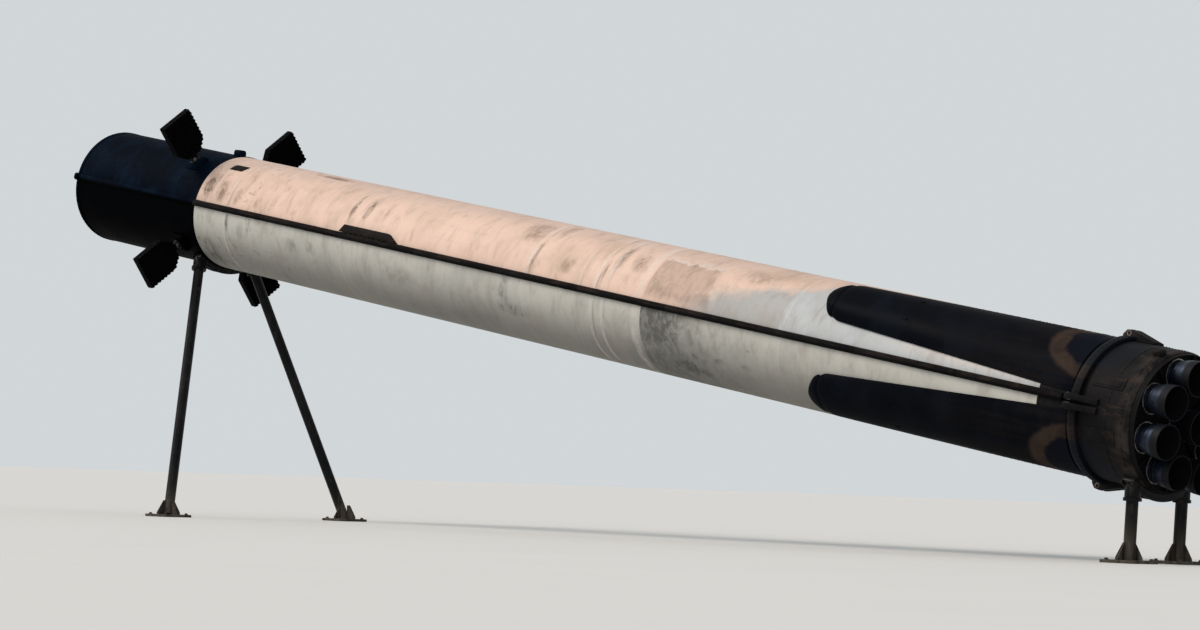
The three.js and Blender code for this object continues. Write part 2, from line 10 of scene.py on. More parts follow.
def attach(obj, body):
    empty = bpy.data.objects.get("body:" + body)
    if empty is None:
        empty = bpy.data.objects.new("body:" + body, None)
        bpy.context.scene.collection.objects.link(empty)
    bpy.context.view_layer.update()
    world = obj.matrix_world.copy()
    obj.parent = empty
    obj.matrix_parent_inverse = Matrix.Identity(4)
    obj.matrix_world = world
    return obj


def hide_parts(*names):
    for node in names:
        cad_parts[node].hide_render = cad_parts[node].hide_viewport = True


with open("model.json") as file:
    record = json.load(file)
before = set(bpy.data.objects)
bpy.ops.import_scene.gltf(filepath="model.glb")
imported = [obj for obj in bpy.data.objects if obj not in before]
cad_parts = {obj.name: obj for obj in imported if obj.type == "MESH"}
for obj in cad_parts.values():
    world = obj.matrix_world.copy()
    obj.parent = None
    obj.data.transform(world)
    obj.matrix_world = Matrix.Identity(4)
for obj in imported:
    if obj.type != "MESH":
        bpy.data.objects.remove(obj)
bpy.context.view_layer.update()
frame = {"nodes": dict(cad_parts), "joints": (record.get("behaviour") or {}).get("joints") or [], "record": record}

bl_info = {
    "name": "Rocket stage on its stand",
    "version": (1, 0, 0),
    "blender": (4, 5, 0),
    "location": "3D View > Sidebar > Rocket stage",
    "description": "Builds the visible surfaces of a half-size rocket stage round its packed model",
    "category": "Object",
}

# Stations in metres along the axis, measured aft from the interstage joint
FRONT_END = -3.375
FRONT_RING_END = -3.315
FIN_STATION = -0.525
JOINT_RING_START = -0.030
TANK_JOINT = 10.800
LEG_TIP = 14.255
LEG_SPLIT = 14.505
LEG_END = 18.990
TANK_END = 18.450
RACEWAY_END = 18.900
BOX_START = 3.850
BOX_END = 5.250
GUSSET_START = 18.930
GUSSET_END = 19.469
ROOT_START = 19.030
ROOT_END = 19.160
PIN_STATION = 19.035
SKIRT_END = 20.000
BELL_START = 20.0406
BELL_EXIT = 20.4395

# Radii from the axis
SKIN = 0.915
SHELL_INSIDE = 0.870
RIM_INSIDE = 0.845
ENGINE_RING = 0.650
FOLD_RADIUS = 1.056
HOUSING_TOP = 0.986
SADDLE_RADIUS = 0.985

# Angles in degrees up from the near side
LEG_ANGLES = (45, 135, -135, -45)
RACEWAY_ANGLE = 1.7
RACEWAY_HALF_ANGLE = 3.1
BOX_ANGLE = 8.6
BOX_HALF_ANGLE = 3.7
POD_ANGLE = 83
PORT_ANGLE = 51.2
GUSSET_ANGLE = 41.5

# A leg root's gusset from the side, as distance aft of its start and height over the skin
GUSSET_PROFILE = ((0, 0.010), (0, 0.060), (0.060, 0.125), (0.140, 0.135), (0.540, 0.030), (0.540, 0.010))

# A leg along its length, each as its value at the tip and its change to the root: half width in degrees,
# crown and edge height over the skin, and the power of the crown's curve
LEG_TAPER = ((20.5, 18.0), (0.145, -0.095), (0.045, -0.040), (4, -2))
LEG_NOSE = 0.420

# The gap left where pieces meet, the edge angle that stays sharp, and a step too wide to cut any shape
SEAT = 0.0003
SHARP = radians(32)
UNCUT = 10.0

# Stand: name, saddle's station and length, column's top (station, sideways, up) and foot (station, sideways)
PROPS = (
    ("front", -0.190, 0.200, (-0.209, 0.506, -0.800), (1.578, 1.772)),
    ("aft", 19.870, 0.210, (19.870, 0.480, -0.820), (19.990, 0.480)),
)
COLUMN_RADIUS = 0.080
COLLAR_LENGTH = 0.190
COLLAR_RIM = 0.022
FOOT_SIZE = 0.520
FOOT_THICKNESS = 0.040

# Camera fitted to the photograph: its place is ahead of the joint, to the near side and at eye height
CAMERA_AHEAD = 52.728177
CAMERA_NEAR = -39.50
EYE_HEIGHT = 0.80
CAMERA_HEADING = Vector((-0.7433, 0.6690, 0.0))
CAMERA_PITCH = radians(2.35)
CAMERA_ROLL = radians(2.0)
CAMERA_LENS = 121.3


def body_matrix():
    """The leaning, rolled body: +X aft along the axis from the interstage joint, +Z up."""
    joints = {joint["name"]: joint for joint in frame["joints"]}
    out = [Vector(joints[f"fin_steer_{i}"]["axis"]) for i in (1, 2)]
    pivots = [Vector(joints[f"fin_steer_{i}"]["pos_m"]) for i in (1, 2, 3, 4)]
    away = (out[1] - out[0]).normalized()
    up = (out[0] + out[1]).normalized()
    aft = away.cross(up)
    matrix = Matrix((aft, away, up)).transposed().to_4x4()
    matrix.translation = sum(pivots, Vector()) / len(pivots) - aft * FIN_STATION
    return matrix


BODY = body_matrix()
AFT = BODY.to_3x3().col[0]
LEAN = Matrix((AFT, Vector((0, 1, 0)), AFT.cross(Vector((0, 1, 0))))).transposed().to_4x4()
LEAN.translation = BODY.translation


def moved(x=0.0, y=0.0, z=0.0):
    """A shift in metres."""
    return Matrix.Translation((x, y, z))


def turned(angle, axis):
    """A turn in degrees."""
    return Matrix.Rotation(radians(angle), 4, axis)


def facing(angle):
    """Turns +Z straight out of the body at an angle up from the near side."""
    return turned(90 - angle, "X")


def on_skin(station, angle, radius=SKIN):
    """A place on the round body with +Z outwards and +X aft."""
    return facing(angle) @ moved(station, 0, radius)


def around(station, count, radius=SKIN):
    """A row of places spread evenly round the body."""
    return [on_skin(station, (i + 0.5) * 360 / count, radius) for i in range(count)]


# Shapes


def merge(whole, part, *places):
    """Moves one bmesh into another, once for each place."""
    mesh = bpy.data.meshes.new("part")
    part.to_mesh(mesh)
    part.free()
    for place in places or (Matrix(),):
        copy = mesh.copy()
        copy.transform(place)
        whole.from_mesh(copy)
        bpy.data.meshes.remove(copy)
    bpy.data.meshes.remove(mesh)


def revolved(profile, steps, closed=False):
    """Spins (station, radius) points round the axis."""
    part = bmesh.new()
    verts = [part.verts.new((station, 0, radius)) for station, radius in profile]
    edges = [part.edges.new(pair) for pair in zip(verts, verts[1:])]
    if closed:
        edges.append(part.edges.new((verts[-1], verts[0])))
    bmesh.ops.spin(part, geom=verts + edges, cent=(0, 0, 0), axis=(1, 0, 0), dvec=(0, 0, 0),
                   angle=tau, steps=steps, use_merge=True)
    bmesh.ops.remove_doubles(part, verts=part.verts, dist=1e-6)
    bmesh.ops.recalc_face_normals(part, faces=part.faces)
    return part


def disc(low, high, inside, outside, edge):
    """A flat ring or disc with softened outer corners, as (station, radius) points."""
    return [(low, inside), (low, outside - edge), (low + edge, outside), (high - edge, outside),
            (high, outside - edge), (high, inside)]


def soften(part, width, angle=30):
    """Bevels the edges that are sharper than an angle in degrees."""
    if width:
        edges = [edge for edge in part.edges if edge.calc_face_angle(0) > radians(angle)]
        bmesh.ops.bevel(part, geom=edges, offset=width, offset_type="OFFSET", segments=2,
                        profile=0.5, affect="EDGES", material=-1)
    return part


def block(x, y, z, bevel=0.0):
    """A box between pairs of coordinates."""
    part = bmesh.new()
    size = [high - low for low, high in (x, y, z)]
    centre = [(high + low) / 2 for low, high in (x, y, z)]
    bmesh.ops.create_cube(part, size=1, matrix=moved(*centre) @ Matrix.Diagonal((*size, 1)))
    return soften(part, bevel)


def prism(outline, low, high, bevel=0.0, axis="X"):
    """Runs an outline from low to high along one axis: its pairs are the other two coordinates."""
    part = bmesh.new()
    fixed = "XYZ".index(axis)
    shift = Vector((0, 0, 0))
    shift[fixed] = high - low
    face = part.faces.new([part.verts.new((*pair[:fixed], low, *pair[fixed:])) for pair in outline])
    side = bmesh.ops.extrude_face_region(part, geom=[face], use_keep_orig=True)["geom"]
    bmesh.ops.translate(part, vec=shift, verts=[g for g in side if isinstance(g, bmesh.types.BMVert)])
    bmesh.ops.recalc_face_normals(part, faces=part.faces)
    return soften(part, bevel)


def rod(start, end, radius, segments=32, end_radius=None, bevel=0.0):
    """A round bar between two points."""
    part = bmesh.new()
    start, end = Vector(start), Vector(end)
    along = end - start
    place = moved(*(start + end) / 2) @ along.to_track_quat("Z", "Y").to_matrix().to_4x4()
    bmesh.ops.create_cone(part, cap_ends=True, segments=segments, depth=along.length, matrix=place,
                          radius1=radius, radius2=radius if end_radius is None else end_radius)
    return soften(part, bevel, 60)


def bent(part, angle, step=0.03):
    """Bends a flat shape, as (station, sideways, height), round the body, cut lengthwise at each step."""
    widths = [vert.co.y for vert in part.verts]
    low, high = min(widths), max(widths)
    count = max(int((high - low) / step), 1)
    for i in range(1, count):
        bmesh.ops.bisect_plane(part, geom=part.verts[:] + part.edges[:] + part.faces[:], dist=1e-5,
                               plane_co=(0, low + (high - low) * i / count, 0), plane_no=(0, 1, 0))
    for vert in part.verts:
        turn = radians(angle) + vert.co.y / SKIN
        radius = SKIN + vert.co.z
        vert.co = Vector((vert.co.x, -radius * cos(turn), radius * sin(turn)))
    return part


def bolts(whole, radius, height, places):
    """Sets hexagon heads on washers, each standing on its place's +Z."""
    head = rod((0, 0, 0), (0, 0, height * 0.3), radius * 1.5, 12)
    merge(head, rod((0, 0, height * 0.3), (0, 0, height), radius, 6))
    merge(whole, head, *places)


def banded(start, end, radius, bands, half, height):
    """A skin's (station, radius) points with flat-topped bands at some stations."""
    ramp, support = 0.004, 0.012
    points = [(start, radius)]
    for centre in bands:
        if start + half < centre < end - half:
            low, high = centre - half, centre + half
            points += [(low - ramp - support, radius), (low - ramp, radius), (low, radius + height),
                       (high, radius + height), (high + ramp, radius), (high + ramp + support, radius)]
    return points + [(end, radius)]


def piece(name, part, slot, body="stage", place=BODY, replaces=()):
    """Puts a finished shape into the scene on a body, with its finish."""
    bmesh.ops.transform(part, matrix=place, verts=part.verts)
    mesh = bpy.data.meshes.new(name)
    part.to_mesh(mesh)
    part.free()
    mesh.shade_smooth()
    mesh.set_sharp_from_angle(angle=SHARP)
    thing = bpy.data.objects.new(name, mesh)
    bpy.context.scene.collection.objects.link(thing)
    mesh.materials.append(finish(slot))
    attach(thing, body)
    if replaces:
        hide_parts(*replaces)


# Finishes


class Socket:
    """A node's output: its arithmetic and methods add the nodes that work on it."""

    def __init__(self, paint, output):
        self.paint = paint
        self.output = output

    def math(self, operation, *values):
        return self.paint.node("ShaderNodeMath", {"operation": operation}, *values)

    def vector_math(self, operation, *values):
        return self.paint.node("ShaderNodeVectorMath", {"operation": operation}, self, *values)

    def __add__(self, other):
        return self.math("ADD", self, other)

    def __sub__(self, other):
        return self.math("SUBTRACT", self, other)

    def __rsub__(self, other):
        return self.math("SUBTRACT", other, self)

    def __mul__(self, other):
        return self.math("MULTIPLY", self, other)

    def __abs__(self):
        return self.math("ABSOLUTE", self)

    __radd__ = __add__
    __rmul__ = __mul__

    def ramp(self, low, high):
        """0 at low and 1 at high, smoothly between, whichever is larger."""
        if low > high:
            return 1 - self.ramp(high, low)
        settings = {"interpolation_type": "SMOOTHSTEP"}
        return self.paint.node("ShaderNodeMapRange", settings, self, low, high, 0.0, 1.0)

    def noise(self, scale, detail, roughness, distortion=0.0, stretch=None):
        """Noise over this vector, drawn out by its three factors."""
        lacunarity = 2.0
        vector = self.vector_math("MULTIPLY", stretch) if stretch else self
        values = (vector, scale, detail, roughness, lacunarity, distortion)
        return self.paint.node("ShaderNodeTexNoise", {}, *values)

    def along(self, axis):
        """One coordinate of this vector."""
        return self.paint.node("ShaderNodeSeparateXYZ", {}, self, output="XYZ".index(axis))

    def reach(self, centre, turn, length, half):
        """Distance from a spot on the flattened skin, 1 at the rim of an oval round it."""
        shares, shift = (1 / length, 1 / half, 0), (-centre / length, -turn / half, 0)
        spot = self.vector_math("MULTIPLY_ADD", shares, shift)
        return spot.vector_math("LENGTH")


class Paint:
    """One material: its shader, and the nodes that vary it over the object."""

    def __init__(self, name, **constants):
        self.material = bpy.data.materials.new(name)
        self.material.use_nodes = True
        self.tree = self.material.node_tree
        self.tree.nodes.clear()
        self.shader = self.tree.nodes.new("ShaderNodeBsdfPrincipled")
        output = self.tree.nodes.new("ShaderNodeOutputMaterial")
        self.tree.links.new(self.shader.outputs["BSDF"], output.inputs["Surface"])
        for socket, value in constants.items():
            self.shader.inputs[socket.replace("_", " ")].default_value = value
        object_coordinates = 3
        self.place = self.node("ShaderNodeTexCoord", {}, output=object_coordinates)

    def node(self, kind, settings, *values, output=0):
        """Adds a node, sets it up, then fills its open sockets in order with values or links."""
        node = self.tree.nodes.new(kind)
        for name, value in settings.items():
            setattr(node, name, value)
        for socket, value in zip([socket for socket in node.inputs if socket.enabled], values):
            if isinstance(value, Socket):
                self.tree.links.new(value.output, socket)
            else:
                socket.default_value = (*value, 1) if socket.type == "RGBA" else value
        return Socket(self, [socket for socket in node.outputs if socket.enabled][output])

    def coats(self, base, *layers):
        """Lays coats, each a share and a colour, over the one before."""
        for share, colour in layers:
            base = self.node("ShaderNodeMix", {"data_type": "RGBA"}, share, base, colour)
        return base

    def done(self, base, rough, height=None, strength=0.0, distance=0.0):
        """Links the colour, the roughness and the relief, and returns the material."""
        links = {"Base Color": base, "Roughness": rough}
        if height:
            filter_width = 1.0
            links["Normal"] = self.node("ShaderNodeBump", {}, strength, distance, filter_width, height)
        for name, value in links.items():
            self.tree.links.new(value.output, self.shader.inputs[name])
        return self.material


class BodyPaint(Paint):
    """A material that knows where it is on the body: station, sideways, height and angle in degrees."""

    def __init__(self, name, **constants):
        super().__init__(name, **constants)
        inverse = BODY.inverted()
        turn = tuple(inverse.to_euler("XYZ"))
        self.body = self.node("ShaderNodeMapping", {}, self.place, tuple(inverse.translation), turn)
        self.station, self.away, self.up = [self.body.along(axis) for axis in "XYZ"]
        self.angle = self.up.math("ARCTAN2", self.up, self.away * -1.0) * degrees(1)

    def shade_below(self):
        """Painted shade: 1 below the raceway, where the near side changes colour at once and the far side slowly.
        """
        far = self.away.ramp(-0.2, 0.3)
        return self.up.ramp(0.04, 0.0) * (1 - far) + self.up.ramp(0.50, -0.60) * far


# Soot on the tanks: station, angle, half length in metres, half angle in degrees, strength
SOOT_PATCHES = (
    (0.22, 24, 0.18, 18, 0.85),
    (0.58, 20, 0.15, 16, 0.66),
    (1.02, 18, 0.12, 11, 0.66),
    (1.60, 15, 0.14, 9, 0.36),
    (1.97, 20, 0.09, 13, 0.36),
    (0.90, -11, 0.05, 9, 1.00),
    (1.25, -18, 0.10, 10, 0.50),
    (2.60, -20, 0.20, 9, 0.40),
    (0.34, -52, 0.20, 24, 0.75),
    (2.68, 72, 0.46, 5, 1.20),
    (3.11, -18, 0.16, 9, 0.36),
    (3.89, 33, 0.06, 18, 0.75),
    (4.24, 33, 0.08, 18, 0.75),
    (4.68, 36, 0.07, 16, 0.40),
    (5.30, -24, 0.50, 12, 0.26),
    (7.98, 52, 0.30, 17, 0.60),
    (8.33, 22, 0.06, 17, 0.65),
    (8.50, 62, 0.12, 18, 0.50),
    (9.07, 21, 0.18, 11, 0.40),
    (9.88, 19, 0.035, 15, 0.60),
    (10.05, 41, 0.10, 18, 0.60),
    (10.47, 38, 0.20, 12, 0.55),
    (7.83, -16, 0.14, 22, 0.50),
    (8.00, -32, 0.50, 8, 0.55),
    (11.75, -52, 0.50, 10, 0.55),
    (11.40, -12, 0.07, 4, 0.60),
    (11.95, -36, 0.09, 4, 0.62),
    (12.42, -36, 0.10, 3, 0.50),
    (13.00, -37, 0.12, 4, 0.42),
    (13.09, -20, 0.06, 2, 0.40),
    (12.75, 52, 0.50, 12, 0.40),
    (11.60, -120, 1.20, 44, 0.70),
    (11.50, 128, 0.90, 30, 0.70),
)

# Sun-baked tan places on the tanks, in the same columns
TAN_PATCHES = (
    (8.90, 24, 0.42, 20, 0.55),
    (9.65, 50, 0.30, 16, 0.40),
    (5.60, 40, 0.50, 20, 0.25),
    (13.10, 62, 0.60, 14, 0.35),
)
TAN = (0.46, 0.325, 0.235)

# Hoops round the tanks: station, half width, pale line (a painted highlight on the weld band), dark edge behind it
# (a painted shadow), share of both under the raceway
HOOPS = (
    (0.30, 0.030, 0.20, 0.10, 1.0),
    (0.82, 0.030, 0.45, 0.35, 1.0),
    (3.88, 0.020, 0.25, 0.25, 0.9),
    (4.16, 0.015, 0.20, 0.20, 0.5),
    (6.40, 0.020, 0.12, 0.05, 0.3),
    (8.26, 0.050, 0.38, 0.35, 0.2),
    (9.45, 0.030, 0.30, 0.20, 0.2),
    (9.77, 0.040, 0.42, 0.45, 1.0),
    (10.01, 0.040, 0.42, 0.25, 1.0),
    (10.71, 0.075, 0.46, 0.10, 1.0),
    (12.40, 0.020, 0.12, 0.12, 0.4),
    (13.70, 0.020, 0.15, 0.05, 0.4),
    (16.10, 0.020, 0.15, 0.05, 0.6),
    (17.60, 0.020, 0.15, 0.05, 0.6),
)
HOOP_HIGHLIGHT = (0.60, 0.55, 0.50)
HOOP_SHADOW = (0.13, 0.105, 0.088)


def tank_white(colours):
    paint = BodyPaint("tank_white", Coat_Roughness=0.3, Specular_IOR_Level=0.25)
    body, station, up, angle, shade_below = paint.body, paint.station, paint.up, paint.angle, paint.shade_below()
    flat = paint.node("ShaderNodeCombineXYZ", {}, station, angle, 0.0)
    hoops = body.noise(1.0, 5.0, 0.6, 0.3, (3.0, 0.9, 0.9))
    smears = body.noise(1.6, 5.0, 0.6, 0.5, (3.6, 1.7, 1.7))
    streaks = body.noise(1.3, 5.0, 0.6, 0.0, (0.35, 4.0, 4.0))
    blots = body.noise(1.5, 7.0, 0.72, 0.9, (4.5, 3.2, 3.2))
    scratches = body.noise(2.6, 6.0, 0.7, 0.6, (1.4, 7.0, 7.0))
    clouds = body.noise(0.9, 5.0, 0.6, 0.4)
    ragged = body.noise(5.0, 6.0, 0.65)
    fine = body.noise(42.0, 3.0, 0.6)
    jitter = ragged - 0.5

    # Soot: all over, thicker at the front, in patches, and just aft of the joint between the tanks
    soot = (clouds * 0.5 + hoops * 0.25 + smears * 0.25).ramp(0.44, 0.70) * 0.34
    soot = soot.math("MAXIMUM", soot, blots.ramp(0.53, 0.66) * (station.ramp(3.6, 0.9) * 0.34 + 0.16))
    broken = 0.52 + blots.ramp(0.42, 0.60) * 0.75
    for centre, turn, length, half, strength in SOOT_PATCHES:
        spread = flat.reach(centre, turn, length, half) + jitter * 1.4
        soot = soot.math("MAXIMUM", soot, spread.ramp(1.30, 0.25) * broken * strength)
    past_joint = station.ramp(10.83, 10.845)
    fade = past_joint * station.ramp(13.75, 10.9)
    soot = soot + fade * streaks * 0.12 + fade * shade_below * (0.22 + blots.ramp(0.40, 0.62) * 0.34)
    darkest = past_joint * shade_below * (station + jitter * 0.9).ramp(12.4, 11.2) * angle.ramp(-54, -20)
    soot = soot.math("MAXIMUM", soot, darkest * (0.72 + blots.ramp(0.40, 0.62) * 0.42))

    # A patch of peeled paint with a torn upper edge; the lighter line along that edge is a painted highlight
    sagging = angle + jitter * 26
    ragged_end = station + jitter * 0.35 + (angle - 30) * 0.004
    peeled = past_joint * ragged_end.ramp(12.16, 12.02) * sagging.ramp(51, 48) * angle.ramp(3, 14)
    torn_highlight = past_joint * station.ramp(12.10, 12.00) * abs(sagging - 51.0).ramp(3.5, 1.0)
    soot = soot.math("MAXIMUM", soot, peeled * (0.20 + smears * 0.34 + blots.ramp(0.42, 0.60) * 0.14))

    # Painted light and shade: warm above the raceway as painted sunlight, greyer aft under a painted cast shadow,
    # grey below it as painted shade
    # Painted cast shadow on the upper side aft: its edge rises round the body going aft, and past 13.6 m the
    # shadow is bluer
    shadow_line = angle - (station - 11.5) * 13.5 + (clouds - 0.5) * 50 + jitter * 20
    aft_shadow_zone = (station + jitter * 0.10).ramp(13.58, 13.66)
    upper = paint.coats(
        colours.paint,
        (shadow_line.ramp(26.0, 8.0) * station.ramp(11.2, 12.4), (0.352, 0.345, 0.330)),
        (aft_shadow_zone * shadow_line.ramp(30.0, 12.0), colours.aft_shadow_paint),
        (station.ramp(15.0, 17.5) * angle.ramp(4, 16), (0.56, 0.50, 0.46)),
        # Painted shade: the top is painted a little darker where the lamp lights it most
        (up.ramp(0.60, 1.0) * 0.4, (0.34, 0.27, 0.24)))
    # Painted shade: the lower paint grows darker towards the bottom
    lower = paint.coats(colours.paint_shaded, (up.ramp(-0.10, -0.85), (0.19, 0.185, 0.165)))
    # Soot below the raceway is darker: real soot under painted shade
    soot_with_shade = paint.coats(colours.soot, (shade_below, (0.085, 0.083, 0.075)))
    base = paint.coats(
        upper, (shade_below, lower),
        (smears.ramp(0.50, 0.72) * 0.26 + streaks.ramp(0.55, 0.75) * 0.12, (0.30, 0.23, 0.18)))
    for centre, turn, length, half, strength in TAN_PATCHES:
        spread = flat.reach(centre, turn, length, half) + jitter
        base = paint.coats(base, (spread.ramp(1.3, 0.2) * strength, TAN))
    base = paint.coats(
        base, (soot.math("MINIMUM", soot, 0.94), soot_with_shade),
        # Light scratches in the peeled patch, and a painted highlight along its torn edge
        (peeled * scratches.ramp(0.62, 0.67) * 0.5 + torn_highlight * 0.45, (0.56, 0.50, 0.45)))
    worn = ragged.ramp(0.32, 0.60)
    # Each weld band gets a painted highlight and, just aft of it, a painted shadow, weaker under the raceway
    for centre, half, highlight_share, dark, share in HOOPS:
        left = worn * (1 - shade_below * (1 - share)) * (1 - shade_below * 0.3)
        line = abs(station - centre).ramp(half, half * 0.6)
        edge = abs(station - centre - half * 1.5).ramp(half * 0.6, half * 0.2)
        base = paint.coats(base, (line * left * highlight_share, HOOP_HIGHLIGHT), (edge * left * dark, HOOP_SHADOW))
    relief = hoops * 0.3 + smears * 0.2 + ragged * 0.2 + fine * 0.06
    return paint.done(base, 0.58 + soot * 0.3 + (fine - 0.5) * 0.12, relief, 0.20, 0.004)


def mottled(name, dark, light, grain, strength, worn=None, shaded=None):
    """A dark coat with cloudy mottling, fine grain and, if asked, worn patches or painted shade on the underside.
    """
    paint = BodyPaint(name, Specular_IOR_Level=0.008)
    clouds = paint.body.noise(grain, 6.0, 0.62, 0.5)
    fine = paint.body.noise(grain * 22, 4.0, 0.6)
    base = paint.coats(dark, ((clouds * 0.65 + fine * 0.35).ramp(0.40, 0.66), light))
    if worn:
        patches = paint.body.noise(grain * 0.8, 7.0, 0.7, 0.8, (1.2, 2.2, 2.2))
        base = paint.coats(base, (patches.ramp(0.55, 0.72) * 0.8, worn))
    # Painted shade: below the raceway the coat is a darker copy of itself
    if shaded:
        base = paint.coats(base, (paint.shade_below(), dark * shaded))
    rough = 0.60 + (clouds - 0.5) * 0.30 + (fine - 0.5) * 0.15
    return paint.done(base, rough, clouds * 0.6 + fine * 0.15, strength, 0.004)


# Painted reflection and shade: the blue in the interstage's coat and mottling stands for sky reflected on its
# black paint, and shaded=0.15 paints its underside darker
def interstage_black(colours):
    return mottled("interstage_black", colours.interstage, (0.0030, 0.0085, 0.0185), 2.2, 0.35, shaded=0.15)


def fin_black(colours):
    return mottled("fin_black", colours.fin, (0.0060, 0.0055, 0.0055), 8.0, 0.4, (0.0120, 0.0100, 0.0090))


def burn_mark(paint, ragged, streaks, scorch, dark_share):
    """Coats for the brown arc round each leg's root and the dark oval inside it."""
    side = abs(abs(paint.angle) - 90.0) - 45.0
    flat = paint.node("ShaderNodeCombineXYZ", {}, paint.station, side, 0.0)
    distance = flat.reach(19.08, -11.0, 0.70, 31.0) + (ragged - 0.5) * 0.30
    arc = abs(distance - 1.0).ramp(0.26, 0.12) * paint.station.ramp(19.25, 18.90)
    return ((arc * (ragged * 1.1 + streaks * 0.3 - 0.15), scorch * 0.6),
            (distance.ramp(0.86, 0.74) * dark_share, (0.0040, 0.0055, 0.0095)))


def leg_black(colours):
    paint = BodyPaint("leg_black", Specular_IOR_Level=0.008)
    body = paint.body
    clouds = body.noise(1.6, 6.0, 0.6, 0.4)
    ragged = body.noise(4.0, 6.0, 0.65)
    streaks = body.noise(1.6, 6.0, 0.65, 0.0, (0.3, 6.0, 6.0))
    fine = body.noise(60.0, 3.0, 0.6)
    scorched = paint.station.ramp(15.4, 18.6) * (streaks * 0.6 + clouds * 0.4).ramp(0.42, 0.66)
    top = paint.up.ramp(0.80, 0.98) * (streaks * 0.5 + ragged * 0.5).ramp(0.34, 0.60)
    base = paint.coats(
        colours.leg,
        (clouds.ramp(0.45, 0.70) * 0.7, (0.0050, 0.0068, 0.0110)),
        (scorched * 0.7, (0.0105, 0.0080, 0.0070)),
        (top * 0.8, (0.0140, 0.0105, 0.0088)),
        *burn_mark(paint, ragged, streaks, colours.scorch, 0.8))
    rough = 0.42 + scorched * 0.25 + (fine - 0.5) * 0.1 + (clouds - 0.5) * 0.25
    return paint.done(base, rough, clouds * 0.5 + streaks * 0.2 + fine * 0.05, 0.3, 0.004)


def sooty_skirt(colours):
    paint = BodyPaint("sooty_skirt", Specular_IOR_Level=0.06)
    body, station = paint.body, paint.station
    clouds = body.noise(2.6, 6.0, 0.62, 0.5)
    ragged = body.noise(4.0, 6.0, 0.65)
    streaks = body.noise(2.2, 7.0, 0.72, 1.0, (1.0, 3.2, 3.2))
    fine = body.noise(56.0, 4.0, 0.6)
    worn = streaks.ramp(0.50, 0.72) * (station + (clouds - 0.5) * 0.8).ramp(19.15, 19.85)
    rim = station.ramp(19.72, 19.90) * ragged.ramp(0.40, 0.62) * station.ramp(20.02, 19.98)
    base = paint.coats(
        colours.skirt,
        (clouds.ramp(0.42, 0.66), (0.0085, 0.0076, 0.0078)),
        (worn * 0.65, colours.scorch * 0.55),
        (rim * 0.5, (0.045, 0.037, 0.032)),
        *burn_mark(paint, ragged, streaks, colours.scorch, 0.75),
        (station.ramp(20.0, 20.01) * 0.85, (0.0030, 0.0030, 0.0035)))
    rough = 0.62 + (clouds - 0.5) * 0.3 + worn * 0.15 + (fine - 0.5) * 0.1
    return paint.done(base, rough, clouds * 0.5 + streaks * 0.3 + fine * 0.12, 0.45, 0.004)


def raceway_black(colours):
    paint = BodyPaint("raceway_black", Specular_IOR_Level=0.03)
    clouds = paint.body.noise(3.0, 7.0, 0.68, 0.6, (0.8, 3.0, 3.0))
    fine = paint.body.noise(70.0, 4.0, 0.6)
    base = paint.coats(
        (0.0050, 0.0043, 0.0043),
        (clouds.ramp(0.44, 0.66), (0.0190, 0.0130, 0.0105)),
        # Painted shade on the raceway's underside
        (paint.up.ramp(0.030, 0.010), (0.0020, 0.0020, 0.0024)))
    rough = 0.55 + (clouds - 0.5) * 0.3 + (fine - 0.5) * 0.15
    return paint.done(base, rough, clouds * 0.5 + fine * 0.2, 0.35, 0.003)


def nozzle_metal(colours):
    paint = BodyPaint("nozzle_metal", Metallic=0.85)
    clouds = paint.body.noise(7.0, 5.0, 0.6, 0.4)
    rings = paint.body.noise(1.6, 4.0, 0.6, 0.0, (30.0, 1.0, 1.0))
    burnt = (paint.station + (clouds - 0.5) * 0.03).ramp(20.315, 20.325)
    base = paint.coats(
        colours.nozzle,
        ((clouds * 0.6 + rings * 0.4).ramp(0.38, 0.64), (0.022, 0.031, 0.052)),
        (burnt * 0.9, (0.006, 0.006, 0.007)))
    return paint.done(base, 0.32 + clouds * 0.24 + burnt * 0.2, rings * 0.4 + clouds * 0.3, 0.25, 0.002)


def bare_steel(colours):
    paint = BodyPaint("bare_steel", Metallic=0.85)
    clouds = paint.body.noise(9.0, 6.0, 0.65)
    fine = paint.body.noise(130.0, 3.0, 0.6)
    mottling = clouds.ramp(0.40, 0.66)
    # Steel ahead of the interstage joint, the fin hubs, is darkened nearly to black
    darker_forward = paint.coats((0.014, 0.014, 0.015), (mottling, (0.008, 0.008, 0.008)))
    base = paint.coats(
        colours.steel,
        (mottling, (0.10, 0.085, 0.072)),
        (paint.station.ramp(0.1, 0.0), darker_forward))
    return paint.done(base, 0.36 + clouds * 0.3 + fine * 0.1, clouds * 0.5 + fine * 0.2, 0.3, 0.001)


def stand_black(colours):
    paint = Paint("stand_black", Specular_IOR_Level=0.07)
    place = paint.place
    clouds = place.noise(2.2, 6.0, 0.62, 0.4)
    drips = place.noise(1.2, 5.0, 0.65, 0.0, (9.0, 9.0, 0.5))
    chips = place.noise(34.0, 5.0, 0.7)
    scuffs = place.noise(1.7, 7.0, 0.72, 0.5, (7.0, 7.0, 2.0))
    dust = place.along("Z").ramp(0.60, 0.02) * drips.ramp(0.30, 0.62)
    rust = chips.ramp(0.66, 0.72) * clouds.ramp(0.52, 0.60)
    base = paint.coats(
        colours.stand,
        (clouds.ramp(0.35, 0.70), (0.0110, 0.0105, 0.0105)),
        (scuffs.ramp(0.54, 0.64) * 0.6, (0.030, 0.025, 0.021)),
        (dust * 0.5, (0.16, 0.13, 0.10)),
        (rust, (0.10, 0.038, 0.018)))
    rough = 0.34 + dust * 0.4 + (drips - 0.5) * 0.3
    return paint.done(base, rough, clouds * 0.3 + chips * 0.15 + rust * -0.5, 0.25, 0.002)


